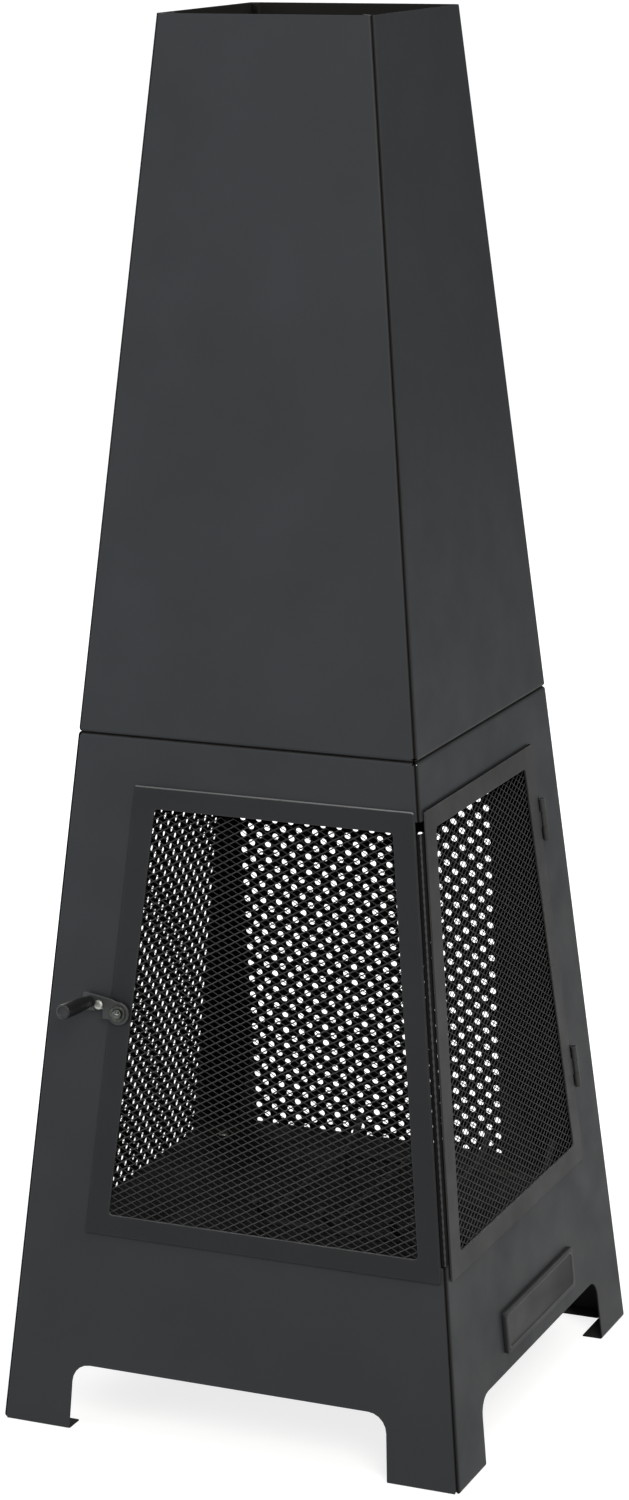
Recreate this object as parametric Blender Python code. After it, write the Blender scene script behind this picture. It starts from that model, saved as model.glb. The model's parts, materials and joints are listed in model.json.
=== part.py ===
"""A free-standing steel chiminea: a tapering square body on four corner legs, a taller chimney
bolted on top, an L-shaped mesh door that wraps one corner, and a wire log grate inside.

Lengths are in metres and +Z is up. The badge side faces -Y and the latch side faces -X.
The origin is on the ground, under the middle of the whole object's box.
"""

import math

import bmesh
import bpy
from mathutils import Matrix, Vector

# Casing: a square pyramid, cut off at the rim and split at the seam
BASE_HALF = 0.200
RIM_HALF = 0.090
RIM_HEIGHT = 1.125
SEAM_HEIGHT = 0.569
SHEET = 0.0012
GAP = 0.0003
OVERRUN = 0.002
MERGE = 0.0001

# Folds and flanges of the casing panels, as radii of the outer skin and widths
CORNER_FOLD = 0.0015
SEAM_FOLD = 0.0025
FOOT_FOLD = 0.002
CORNER_FLANGE = 0.017
SEAM_FLANGE = 0.015
FOOT_FLANGE = 0.018

# Leg arch in each body panel, its legs' widths counted from the casing's corner line at the ground
LEG_WIDTH = 0.0605
LEG_TOP_WIDTH = 0.0632
ARCH_HEIGHT = 0.0555
ARCH_RADIUS = 0.016

# Ventilation holes of the right and back panels. They keep off the corner that the two panels share
# by one margin and off the other corner by a wider one, both from the corner line at the ground.
HOLE_RADIUS = 0.0105
HOLE_PITCH = 0.0525
HOLE_FIELD_SHARED_MARGIN = 0.057
HOLE_FIELD_PLAIN_MARGIN = 0.1095
HOLE_CORNER_MARGIN = 0.014
HOLE_FIELD_ABOVE_FLOOR = 0.013
HOLE_FIELD_BELOW_SEAM = 0.062

# Door frames, which overlap the doorway's edges from outside
FRAME_ABOVE_FLOOR = 0.027
FRAME_BELOW_SEAM = 0.0375
FRAME_BORDER = 0.0175
FRAME_FAR_INSET = 0.0565
FRAME_STANDOFF = 0.0008
FRAME_SHEET = 0.0016
FRAME_CORNER = 0.004
WINDOW_CORNER = 0.003
FRAME_CHAMFER = 0.0004
LEFT_FRAME_NEAR_INSET = 0.0035
FRONT_FRAME_NEAR_INSET = 0.006
LEFT_NEAR_STILE = 0.0185
FRONT_NEAR_STILE = 0.021
FAR_STILE = 0.0190

# Doorway, which runs round the near corner, and how far the frames overlap it
DOORWAY_LOW_LAP = 0.013
DOORWAY_HIGH_LAP = 0.0079
DOORWAY_FAR_LAP = 0.0075

# Expanded mesh of the door, one sheet folded round the near corner, and its room in the doorway
MESH_LOW_ROOM = 0.0016
MESH_HIGH_ROOM = 0.0086
MESH_FAR_ROOM = 0.0035
MESH_SHEET = 0.0018
MESH_FOLD = 0.0022
MESH_STRAND = 0.004
MESH_CELL_WIDTH = 0.066
MESH_CELL_HEIGHT = 0.037
MESH_EDGE = 0.004
MESH_CORNER_STRIP = 0.005

# Hinges, on one slanted axis beside the front frame
HINGE_BEYOND_FRAME = 0.0065
HINGE_STANDOFF = 0.003
HINGE_PIN_RADIUS = 0.0012
HINGE_STRIP = 0.001
HINGE_LENGTH = 0.036
HINGE_KNUCKLE = 0.012
HINGE_LEAF = 0.012
UPPER_HINGE_BELOW_TOP = 0.0665
LOWER_HINGE_ABOVE_FOOT = 0.0812
RIVET_RADIUS = 0.0012
RIVET_HEAD_RADIUS = 0.0023
RIVET_HEAD = 0.0011
RIVET_ABOVE_END = 0.0065
RIVET_REACH = 0.0065

# Latch: a hooked lever on the left frame's far stile
LATCH_BELOW_MIDDLE = 0.00035
LATCH_PAST_EDGE = 0.009
LEVER_SHEET = 0.002
LEVER_BOSS = 0.0095
LEVER_TIP = 0.0315
LEVER_TIP_TOP = 0.0153
LEVER_NECK = 0.0061
LEVER_NECK_TOP = 0.0111
LEVER_FINGER_DROP = 0.0055
LEVER_CORNER = 0.0025
KEEPER_REACH = 0.0168
KEEPER_RISE = 0.0056
KEEPER_RADIUS = 0.0022
KEEPER_COLLAR_RADIUS = 0.0042
KEEPER_HEAD_RADIUS = 0.004
KEEPER_HEAD = 0.002
KEEPER_PLAY = 0.0007
KEEPER_NUT_RADIUS = 0.0045
KEEPER_NUT = 0.0028
GRIP_REACH = 0.0255
GRIP_RISE = 0.0073
GRIP_LENGTH = 0.046
GRIP_RADIUS = 0.006
GRIP_ROOT_RADIUS = 0.0045
GRIP_ROUNDING = 0.001
GRIP_SCREW_RADIUS = 0.002
GRIP_SCREW_HEAD_RADIUS = 0.004
GRIP_SCREW_HEAD = 0.0008
GRIP_SCREW_DEPTH = 0.012
WASHER_RADIUS = 0.0068
WASHER_SHEET = 0.001
LATCH_SCREW_RADIUS = 0.0025
LATCH_SCREW_HEAD_RADIUS = 0.0044
LATCH_SCREW_HEAD = 0.0024
LATCH_SCREW_DOME = 0.001
RECESS_WIDTH = 0.0012
RECESS_LENGTH = 0.005
RECESS_DEPTH = 0.0012

# Badge plate, bare, on the front panel
BADGE_WIDTH = 0.160
BADGE_LOW = 0.070
BADGE_HEIGHT = 0.0355
BADGE_PLATE = 0.0036
BADGE_CORNER = 0.004
BADGE_RIM = 0.0026
BADGE_RECESS = 0.001
BADGE_CHAMFER = 0.0005

# Floor pan, its brackets and its screws
FLOOR_TOP = 0.139
FLOOR_SHEET = 0.0015
FLOOR_SIDE_GAP = 0.001
FLOOR_FLANGE = 0.012
FLOOR_SCREW_SIDE_INSET = 0.0484088889
FLOOR_SCREW_EDGE_INSET = 0.0324088889
FLOOR_SCREW_RADIUS = 0.002
FLOOR_SCREW_HEAD_RADIUS = 0.0045
FLOOR_SCREW_HEAD = 0.0022
FLOOR_SCREW_BELOW = 0.006
BRACKET_WIDTH = 0.026
BRACKET_DROP = 0.024
BRACKET_BEYOND_SCREW = 0.012
BRACKET_SHEET = 0.0015

# Log grate, a loose welded wire rack standing on the floor pan
GRATE_ROD = 0.003
GRATE_LIFT = 0.020
GRATE_EDGE_INSET = 0.0219088889
GRATE_SPACING = 0.0585
GRATE_HALF = 0.090
GRATE_TIP_OUT = 0.022
GRATE_TIP_UP = 0.022
GRATE_WELD = 0.001
GRATE_LEG_BEND = 0.004

# Bolts and nuts that join the panels inside
BOLT_RADIUS = 0.002
BOLT_HEAD_RADIUS = 0.0038
BOLT_HEAD = 0.0026
NUT_RADIUS = 0.0041
NUT_HEIGHT = 0.003
NUT_WELD = 0.0003
BOLT_BEYOND_NUT = 0.0015
CORNER_BOLT_SETBACK = 0.011
SEAM_BOLT_DEPTH = 0.0085
FOOT_BOLT_BELOW_FLOOR = 0.039
SHOULDER_BOLT_BELOW_SEAM = 0.024
NECK_BOLT_ABOVE_SEAM = 0.031
RIM_BOLT_BELOW_RIM = 0.017

# Counts
GRATE_RODS = 4
FOLD_STEPS = 3
CORNER_STEPS = 3
ROUNDING_STEPS = 3
ARCH_STEPS = 5
CURL_STEPS = 8
BOSS_STEPS = 10
HEX_SIDES = 6
ROUND_SIDES = 12
GRIP_SIDES = 16
WIRE_SIDES = 6

# Angles of the hinge curls, counted from the side away from the door
DOOR_CURL_START = math.radians(-90)
DOOR_CURL_END = math.radians(200)
BODY_CURL_START = math.radians(0)
BODY_CURL_END = math.radians(285)
BOSS_START = math.radians(80)
QUARTER_TURN = math.radians(90)
SMOOTH_ANGLE = math.radians(35)
CHAMFER_ANGLE = math.radians(40)

# How far round each side stands from the front, as shares of a full turn
SIDE_TURN_SHARES = {"front": 0.0, "right": 0.25, "back": 0.5, "left": 0.75}
SIDES = tuple(SIDE_TURN_SHARES)
SIDES_BEFORE = SIDES[-1:] + SIDES[:-1]

# The corner to the right of each side, seen from outside
CORNERS = {"front": "front_right", "right": "back_right", "back": "back_left", "left": "front_left"}

# Sizes that follow from those above
SLOPE = (BASE_HALF - RIM_HALF) / RIM_HEIGHT
TILT = math.atan(SLOPE)
DIAGONAL = math.sqrt(2)
INWARD_DIAGONAL = Vector((-1, 1)).normalized()
CORNER_OFFSET = GAP / DIAGONAL
FOLD_TANGENT = CORNER_FOLD / math.tan(QUARTER_TURN / 4)
MITRE = DIAGONAL * (GAP / 2 + SHEET) + GAP
FLOOR_SKIN = BASE_HALF - SLOPE * FLOOR_TOP
LEG_INNER = BASE_HALF - LEG_WIDTH
LEG_INNER_TOP = BASE_HALF - LEG_TOP_WIDTH
HOLE_FIELD_LOW = FLOOR_TOP + HOLE_FIELD_ABOVE_FLOOR
HOLE_FIELD_HIGH = SEAM_HEIGHT - HOLE_FIELD_BELOW_SEAM
FRAME_LOW = FLOOR_TOP + FRAME_ABOVE_FLOOR
FRAME_HIGH = SEAM_HEIGHT - FRAME_BELOW_SEAM
DOORWAY_LOW = FRAME_LOW + DOORWAY_LOW_LAP
DOORWAY_HIGH = FRAME_HIGH - DOORWAY_HIGH_LAP
DOORWAY_FAR_INSET = FRAME_FAR_INSET + DOORWAY_FAR_LAP
MESH_LOW = DOORWAY_LOW + MESH_LOW_ROOM
MESH_HIGH = DOORWAY_HIGH - MESH_HIGH_ROOM
MESH_FAR_INSET = DOORWAY_FAR_INSET + MESH_FAR_ROOM
HINGE_INSET = FRAME_FAR_INSET - HINGE_BEYOND_FRAME
UPPER_HINGE_HEIGHT = FRAME_HIGH - UPPER_HINGE_BELOW_TOP
LOWER_HINGE_HEIGHT = FRAME_LOW + LOWER_HINGE_ABOVE_FOOT
LATCH_INSET = FRAME_FAR_INSET + LATCH_PAST_EDGE
LATCH_HEIGHT = (FRAME_LOW + FRAME_HIGH) / 2 - LATCH_BELOW_MIDDLE
BADGE_HIGH = BADGE_LOW + BADGE_HEIGHT
FLOOR_SCREW_X = FLOOR_SKIN - FLOOR_SCREW_SIDE_INSET
FLOOR_SCREW_Y = FLOOR_SKIN - FLOOR_SCREW_EDGE_INSET
GRATE_FIRST_Y = (GRATE_RODS - 1) * GRATE_SPACING + GRATE_EDGE_INSET - FLOOR_SKIN
FOOT_BOLT_HEIGHT = FLOOR_TOP - FOOT_BOLT_BELOW_FLOOR
SHOULDER_BOLT_HEIGHT = SEAM_HEIGHT - SHOULDER_BOLT_BELOW_SEAM
NECK_BOLT_HEIGHT = SEAM_HEIGHT + NECK_BOLT_ABOVE_SEAM
RIM_BOLT_HEIGHT = RIM_HEIGHT - RIM_BOLT_BELOW_RIM
STACK_HALF = GAP / 2 + SHEET + GAP
NUT_SEAT = GAP / 2 + SHEET - NUT_WELD
NUT_END = GAP / 2 + SHEET + NUT_HEIGHT
FRAME_FRONT = FRAME_STANDOFF + FRAME_SHEET
FLOOR_BOTTOM = FLOOR_TOP - FLOOR_SHEET
MESH_FACE = FRAME_STANDOFF - GAP
CURL_RADIUS = HINGE_PIN_RADIUS + GAP + HINGE_STRIP / 2
BACK_WASHER = FRAME_FRONT + GAP
LEVER_BACK = BACK_WASHER + WASHER_SHEET + GAP
LEVER_FRONT = LEVER_BACK + LEVER_SHEET
FRONT_WASHER = LEVER_FRONT + GAP
GRIP_START = LEVER_FRONT + GAP
IDENTITY = Matrix.Identity(4)
ACROSS = Matrix(((0, 0, 1, 0), (1, 0, 0, 0), (0, 1, 0, 0), (0, 0, 0, 1)))

# Finishes, as colour, roughness and metallic value
FINISHES = {
    "paint": ((0.036, 0.038, 0.041), 0.55, 0.0),
    "inner paint": ((0.020, 0.020, 0.021), 0.65, 0.0),
    "grip": ((0.008, 0.008, 0.009), 0.45, 0.0),
    "zinc": ((0.30, 0.30, 0.29), 0.40, 0.9),
}


def clear_scene():
    for obj in list(bpy.data.objects):
        bpy.data.objects.remove(obj, do_unlink=True)


def half_width(height):
    """Half the casing's outer width at a height above the ground."""
    return BASE_HALF - SLOPE * height


def rise(height):
    """A height above the ground, measured along a sloping panel."""
    return height / math.cos(TILT)


def side_matrix(side):
    return Matrix.Rotation(SIDE_TURN_SHARES[side] * math.tau, 4, "Z")


def face_matrix(side):
    """A panel's own axes: X along it, Y up its slope and Z out of it, from its middle at the ground."""
    foot = Matrix.Translation((0, -BASE_HALF, 0))
    return side_matrix(side) @ foot @ Matrix.Rotation(QUARTER_TURN - TILT, 4, "X")


def add_finish(obj, finish):
    colour, roughness, metallic = FINISHES[finish]
    material = bpy.data.materials.new(obj.name + "_finish")
    material.use_nodes = True
    shader = material.node_tree.nodes["Principled BSDF"]
    shader.inputs["Base Color"].default_value = (*colour, 1)
    shader.inputs["Roughness"].default_value = roughness
    shader.inputs["Metallic"].default_value = metallic
    material.diffuse_color = (*colour, 1)
    obj.data.materials.append(material)


def add_object(name, bm, placement, carrier):
    """Makes an object whose mesh lies in the placement's axes and which hangs on a carrier empty."""
    mesh = bpy.data.meshes.new(name)
    bm.to_mesh(mesh)
    bm.free()
    obj = bpy.data.objects.new(name, mesh)
    bpy.context.scene.collection.objects.link(obj)
    obj.parent = carrier
    obj.matrix_parent_inverse = Matrix(carrier["axes"]).inverted()
    obj.matrix_basis = placement
    return obj


def add_piece(name, bm, placement, carrier, finish):
    obj = add_object(name, bm, placement, carrier)
    obj.data.shade_smooth()
    obj.data.set_sharp_from_angle(angle=SMOOTH_ANGLE)
    add_finish(obj, finish)
    return obj


def add_cutter(name, bm, placement, carrier):
    obj = add_object(name, bm, placement, carrier)
    obj.hide_render = True
    obj.display_type = "WIRE"
    return obj


def add_carrier(name, axes, carrier=None):
    """An empty that other objects hang on. Its axes are kept in the frame of the casing."""
    empty = bpy.data.objects.new(name, None)
    bpy.context.scene.collection.objects.link(empty)
    empty["axes"] = [list(row) for row in axes]
    empty.matrix_basis = axes
    if carrier is not None:
        empty.parent = carrier
    return empty


def boolean(target, other, operation="DIFFERENCE"):
    modifier = target.modifiers.new(other.name, "BOOLEAN")
    modifier.operation = operation
    modifier.solver = "EXACT"
    modifier.object = other


def solidify(obj, thickness):
    """Gives a skin its thickness on the inner side."""
    modifier = obj.modifiers.new("sheet", "SOLIDIFY")
    modifier.solidify_mode = "NON_MANIFOLD"
    modifier.nonmanifold_thickness_mode = "CONSTRAINTS"
    modifier.nonmanifold_merge_threshold = MERGE
    modifier.thickness = thickness
    modifier.offset = -1


def chamfer(obj, width):
    modifier = obj.modifiers.new("chamfer", "BEVEL")
    modifier.width = width
    modifier.segments = 1
    modifier.limit_method = "ANGLE"
    modifier.angle_limit = CHAMFER_ANGLE


def turned(vector, angle):
    """A flat vector turned by an angle."""
    across = Vector((-vector.y, vector.x))
    return vector * math.cos(angle) + across * math.sin(angle)


def arc(centre, radius, start, end, steps):
    """Points on an arc, both ends included."""
    angles = [start + (end - start) * step / steps for step in range(steps + 1)]
    return [centre + turned(Vector((radius, 0)), angle) for angle in angles]


def fold_points(corner, back, ahead, radius, steps):
    """A corner rounded to a radius, between the directions that lead back and ahead from it."""
    opening = back.angle(ahead)
    tangent = radius / math.tan(opening / 2)
    centre = corner + (back + ahead).normalized() * radius / math.sin(opening / 2)
    spoke = corner + back * tangent - centre
    end_spoke = corner + ahead * tangent - centre
    sweep = math.copysign(math.pi - opening, spoke.x * end_spoke.y - spoke.y * end_spoke.x)
    return [centre + turned(spoke, sweep * step / steps) for step in range(steps + 1)]


def rounded(points, radii, steps):
    """A closed outline whose corners are rounded, each to its own radius, or left sharp at zero."""
    outline = []
    corners = [Vector(point) for point in points]
    for index, corner in enumerate(corners):
        back = (corners[index - 1] - corner).normalized()
        ahead = (corners[(index + 1) % len(corners)] - corner).normalized()
        if radii[index]:
            outline += fold_points(corner, back, ahead, radii[index], steps)
        else:
            outline.append(corner)
    return outline


def add_prism(bm, outline, low, high, placement=IDENTITY):
    """A flat outline extruded along Z from low to high."""
    rings = [
        [bm.verts.new(placement @ Vector((*point, level))) for point in outline] for level in (low, high)
    ]
    faces = [bm.faces.new(rings[0]), bm.faces.new(rings[1])]
    for index in range(len(outline)):
        after = (index + 1) % len(outline)
        faces.append(bm.faces.new((rings[0][index], rings[0][after], rings[1][after], rings[1][index])))
    bmesh.ops.recalc_face_normals(bm, faces=faces)


def add_turning(bm, profile, sides, placement=IDENTITY, hollow=False):
    """A profile of radius and height turned about Z: capped at both ends, or closed as a hollow ring."""
    spokes = [turned(Vector((1, 0)), math.tau * side / sides) for side in range(sides)]
    rings = [
        [bm.verts.new(placement @ Vector((*(spoke * radius), height))) for spoke in spokes]
        for radius, height in profile
    ]
    faces = []
    for lower, upper in zip(rings, rings[1:] + rings[:1] if hollow else rings[1:]):
        for side in range(sides):
            after = (side + 1) % sides
            faces.append(bm.faces.new((lower[side], lower[after], upper[after], upper[side])))
    if not hollow:
        faces += [bm.faces.new(rings[0]), bm.faces.new(rings[-1])]
    bmesh.ops.recalc_face_normals(bm, faces=faces)


def add_wire(bm, path, radius, sides):
    """A round wire along a path of straight runs in one upright plane, mitred where it bends."""
    path = [Vector(point) for point in path]
    runs = [(after - point).normalized() for point, after in zip(path, path[1:])]
    flat = Vector((0, 0, 1)).cross(path[-1] - path[0]).normalized()
    rings = []
    for index, point in enumerate(path):
        before = runs[max(index - 1, 0)]
        ahead = runs[min(index, len(runs) - 1)]
        along = (before + ahead).normalized()
        across = along.cross(flat) / math.cos(before.angle(ahead) / 2)
        ring = []
        for side in range(sides):
            angle = math.tau * (side + 1 / 2) / sides
            ring.append(bm.verts.new(point + (flat * math.cos(angle) + across * math.sin(angle)) * radius))
        rings.append(ring)
    faces = [bm.faces.new(rings[0]), bm.faces.new(rings[-1])]
    for lower, upper in zip(rings, rings[1:]):
        for side in range(sides):
            after = (side + 1) % sides
            faces.append(bm.faces.new((lower[side], lower[after], upper[after], upper[side])))
    bmesh.ops.recalc_face_normals(bm, faces=faces)


def hole_radius(shank, sides):
    """The radius of a many-sided hole that clears a shank with as many sides by the usual gap."""
    return shank + GAP / math.cos(math.pi / sides)


def staggered(half, low, high, pitch_across, pitch_up):
    """Places of a staggered pattern that fills a field, centred in it."""
    rows = int((high - low) / (pitch_up / 2)) + 1
    start = (low + high - (rows - 1) * pitch_up / 2) / 2
    for row in range(rows):
        shift = pitch_across / 2 if row % 2 else 0
        reach = int((half - shift) / pitch_across)
        first = -reach - (1 if shift and shift + reach * pitch_across <= half else 0)
        for column in range(first, reach + 1):
            yield shift + column * pitch_across, start + row * pitch_up / 2


def skin_rows(low, high, low_flange, low_fold, high_flange, high_fold):
    """The upright profile of a panel: foot or seam flange, fold, wall, fold and flange again.

    Each row is its place across the wall, its height and half its length. The two middle values
    that come back are the first and the last row of the flat wall.
    """
    up = Vector((SLOPE, 1)).normalized()
    inward = Vector((1, 0))
    foot = Vector((-half_width(low), low))
    top = Vector((-half_width(high), high))
    wall_start = fold_points(foot, inward, up, low_fold, FOLD_STEPS)
    wall_end = fold_points(top, -up, inward, high_fold, FOLD_STEPS) if high_flange else [top]
    rows = [(foot + inward * low_flange, half_width(low) - low_flange - MITRE)]
    for point in wall_start + wall_end:
        rows.append((point, half_width(point.y) - CORNER_OFFSET - FOLD_TANGENT))
    if high_flange:
        rows.append((top + inward * high_flange, half_width(high) - high_flange - MITRE))
    return rows, len(wall_start), len(wall_start) + 1


def corner_chain(height):
    """The level section of a panel's end: rounded corner, then the flange along the diagonal."""
    corner = Vector((half_width(height) - CORNER_OFFSET, -half_width(height)))
    fold = fold_points(corner, Vector((-1, 0)), INWARD_DIAGONAL, CORNER_FOLD, CORNER_STEPS)
    return fold[1:] + [corner + INWARD_DIAGONAL * CORNER_FLANGE]


def panel_skin(low, high, low_flange, low_fold, high_flange=0.0, high_fold=0.0):
    """The outer skin of one casing panel on the front side, with its folds and flanges."""
    bm = bmesh.new()
    rows, first_wall, last_wall = skin_rows(low, high, low_flange, low_fold, high_flange, high_fold)
    left = [bm.verts.new((-length, point.x, point.y)) for point, length in rows]
    right = [bm.verts.new((length, point.x, point.y)) for point, length in rows]
    for index in range(len(rows) - 1):
        bm.faces.new((left[index], right[index], right[index + 1], left[index + 1]))
    for start, hand in ((right, 1), (left, -1)):
        chains = []
        for row in (first_wall, last_wall):
            height = rows[row][0].y
            chain = [bm.verts.new((hand * point.x, point.y, height)) for point in corner_chain(height)]
            chains.append([start[row]] + chain)
        for index in range(len(chains[0]) - 1):
            quad = [chains[0][index], chains[0][index + 1], chains[1][index + 1], chains[1][index]]
            bm.faces.new(quad if hand > 0 else quad[::-1])
    return bm


def arch_outline():
    """The gap between a panel's two legs, seen square to the panel."""
    splay = (LEG_INNER - LEG_INNER_TOP) / rise(ARCH_HEIGHT)
    below = -FOOT_FOLD - OVERRUN
    foot = LEG_INNER - splay * below
    top = rise(ARCH_HEIGHT)
    points = [(-foot, below), (foot, below), (LEG_INNER_TOP, top), (-LEG_INNER_TOP, top)]
    return rounded(points, (0, 0, ARCH_RADIUS, ARCH_RADIUS), ARCH_STEPS)


def doorway_outline(hand):
    """The doorway on one of its two sides. It runs out past the near corner."""
    past = BASE_HALF + CORNER_FLANGE
    points = []
    for height, order in ((DOORWAY_LOW, 1), (DOORWAY_HIGH, -1)):
        far = half_width(height) - DOORWAY_FAR_INSET
        pair = [(-hand * past, rise(height)), (hand * far, rise(height))]
        points += pair[::order]
    return points


def bolt_matrix(turn, place, axis):
    turning = Matrix.Rotation(turn * math.tau, 4, "Z")
    return turning @ Matrix.Translation(place) @ axis.to_track_quat("Z", "Y").to_matrix().to_4x4()


def corner_bolt_matrix(side, height):
    """Axes of a bolt through the flanges of the corner to a side's right. Its nut is past the corner."""
    reach = half_width(height) - CORNER_BOLT_SETBACK / DIAGONAL
    return bolt_matrix(SIDE_TURN_SHARES[side], (reach, -reach, height), Vector((1, 1, 0)))


def seam_bolt_matrix(side):
    """Axes of the bolt in the middle of a side's seam flanges. Its nut is on the chimney's flange."""
    depth = -half_width(SEAM_HEIGHT) + SEAM_BOLT_DEPTH
    return bolt_matrix(SIDE_TURN_SHARES[side], (0, depth, SEAM_HEIGHT), Vector((0, 0, 1)))


def bolt_sets():
    """Every bolt's name and axes, in one table for each set of panels that it passes through."""
    sets = {"body": {}, "seam": {}, "chimney": {}}
    for side, corner in CORNERS.items():
        sets["body"][corner + "_foot_bolt"] = corner_bolt_matrix(side, FOOT_BOLT_HEIGHT)
        sets["body"][corner + "_shoulder_bolt"] = corner_bolt_matrix(side, SHOULDER_BOLT_HEIGHT)
        sets["seam"][side + "_seam_bolt"] = seam_bolt_matrix(side)
        sets["chimney"][corner + "_neck_bolt"] = corner_bolt_matrix(side, NECK_BOLT_HEIGHT)
        sets["chimney"][corner + "_rim_bolt"] = corner_bolt_matrix(side, RIM_BOLT_HEIGHT)
    return sets


def add_bolts(carrier):
    """Hex bolts, and for each set the cutter for their holes. The cutters come back by set."""
    profile = (
        (BOLT_HEAD_RADIUS, -STACK_HALF - BOLT_HEAD),
        (BOLT_HEAD_RADIUS, -STACK_HALF),
        (BOLT_RADIUS, -STACK_HALF),
        (BOLT_RADIUS, NUT_END + BOLT_BEYOND_NUT),
    )
    hole = hole_radius(BOLT_RADIUS, HEX_SIDES)
    cutters = {}
    for name, bolts in bolt_sets().items():
        holes = bmesh.new()
        for bolt, placement in bolts.items():
            bm = bmesh.new()
            add_turning(bm, profile, HEX_SIDES)
            add_piece(bolt, bm, placement, carrier, "zinc")
            ends = ((hole, -STACK_HALF), (hole, NUT_END + OVERRUN))
            add_turning(holes, ends, HEX_SIDES, placement)
        cutters[name] = add_cutter("cut_" + name + "_bolts", holes, IDENTITY, carrier)
    return cutters


def add_weld_nuts(panel, placements, carrier):
    """Joins hex nuts to a panel's flanges, each sunk a little into the sheet as its weld does."""
    bm = bmesh.new()
    for placement in placements:
        ends = ((NUT_RADIUS, NUT_SEAT), (NUT_RADIUS, NUT_END))
        add_turning(bm, ends, HEX_SIDES, placement)
    boolean(panel, add_cutter("join_" + panel.name + "_nuts", bm, IDENTITY, carrier), "UNION")


def add_perforation(panel, side, hand, carrier):
    """Staggered holes through one panel. The hand says on which end is the corner the panels share."""
    bm = bmesh.new()
    shared = BASE_HALF - HOLE_FIELD_SHARED_MARGIN - HOLE_RADIUS
    plain = BASE_HALF - HOLE_FIELD_PLAIN_MARGIN - HOLE_RADIUS
    low, high = rise(HOLE_FIELD_LOW), rise(HOLE_FIELD_HIGH)
    for across, up in staggered((shared + plain) / 2, low, high, HOLE_PITCH, HOLE_PITCH):
        place = Vector((hand * (across + (shared - plain) / 2), up))
        if abs(place.x) <= half_width(up * math.cos(TILT)) - HOLE_CORNER_MARGIN - HOLE_RADIUS:
            hole = arc(place, HOLE_RADIUS, 0, math.tau, HEX_SIDES)[:-1]
            add_prism(bm, hole, -SHEET - OVERRUN, OVERRUN)
    boolean(panel, add_cutter("cut_" + side + "_holes", bm, face_matrix(side), carrier))


def latch_matrix():
    """Axes of the latch on the left side: X along the panel, towards the near corner, Z outward."""
    along = -half_width(LATCH_HEIGHT) + LATCH_INSET
    return face_matrix("left") @ Matrix.Translation((along, rise(LATCH_HEIGHT), 0))


def hinge_matrix(height):
    """Axes of a hinge: X across it, away from the door, Y up along its pin and Z outward."""
    along = half_width(height) - HINGE_INSET
    place = Matrix.Translation((along, rise(height), HINGE_STANDOFF))
    lean = math.atan(SLOPE * math.cos(TILT))
    return face_matrix("front") @ place @ Matrix.Rotation(lean, 4, "Z")


def rivet_place():
    return Vector((CURL_RADIUS + RIVET_REACH, -HINGE_LENGTH / 2 + RIVET_ABOVE_END))


def add_body_panels(cutters, carrier):
    """The four lower panels, with their arches, doorway, ventilation holes, nuts and fastener holes."""
    top = SEAM_HEIGHT - GAP / 2
    for side, before in zip(SIDES, SIDES_BEFORE):
        skin = panel_skin(0, top, FOOT_FLANGE, FOOT_FOLD, SEAM_FLANGE, SEAM_FOLD)
        panel = add_piece(side + "_panel", skin, side_matrix(side), carrier, "paint")
        solidify(panel, SHEET)
        nuts = [corner_bolt_matrix(before, height) for height in (FOOT_BOLT_HEIGHT, SHOULDER_BOLT_HEIGHT)]
        add_weld_nuts(panel, nuts, carrier)
        bm = bmesh.new()
        add_prism(bm, arch_outline(), -FOOT_FLANGE - OVERRUN, OVERRUN)
        boolean(panel, add_cutter("cut_" + side + "_arch", bm, face_matrix(side), carrier))
        boolean(panel, cutters["body"])
        boolean(panel, cutters["seam"])
        if side in ("left", "front"):
            bm = bmesh.new()
            hand = 1 if side == "front" else -1
            add_prism(bm, doorway_outline(hand), -CORNER_FLANGE - OVERRUN, OVERRUN)
            boolean(panel, add_cutter("cut_" + side + "_doorway", bm, face_matrix(side), carrier))
        else:
            add_perforation(panel, side, 1 if side == "right" else -1, carrier)
        if side == "left":
            boolean(panel, keeper_hole(carrier))
        if side == "front":
            boolean(panel, hinge_slots(carrier))


def keeper_hole(carrier):
    bm = bmesh.new()
    radius = hole_radius(KEEPER_RADIUS, ROUND_SIDES)
    placement = latch_matrix() @ Matrix.Translation((-KEEPER_REACH, KEEPER_RISE, 0))
    add_turning(bm, ((radius, -SHEET - OVERRUN), (radius, OVERRUN)), ROUND_SIDES)
    return add_cutter("cut_keeper_hole", bm, placement, carrier)


def hinge_slots(carrier):
    """A slot for each hinge's body leaf and a hole for its rivet."""
    bm = bmesh.new()
    across = HINGE_STRIP / 2 + GAP
    along = HINGE_LENGTH / 2 + GAP
    slot = [
        (CURL_RADIUS - across, -along),
        (CURL_RADIUS + across, -along),
        (CURL_RADIUS + across, along),
        (CURL_RADIUS - across, along),
    ]
    low = -HINGE_STANDOFF - SHEET - OVERRUN / 2
    high = -HINGE_STANDOFF + OVERRUN / 2
    radius = hole_radius(RIVET_RADIUS, HEX_SIDES)
    for height in (UPPER_HINGE_HEIGHT, LOWER_HINGE_HEIGHT):
        placement = hinge_matrix(height)
        add_prism(bm, slot, low, high, placement)
        rivet = Matrix.Translation((*rivet_place(), 0))
        add_turning(bm, ((radius, low), (radius, high)), HEX_SIDES, placement @ rivet)
    return add_cutter("cut_hinge_slots", bm, IDENTITY, carrier)


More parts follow.
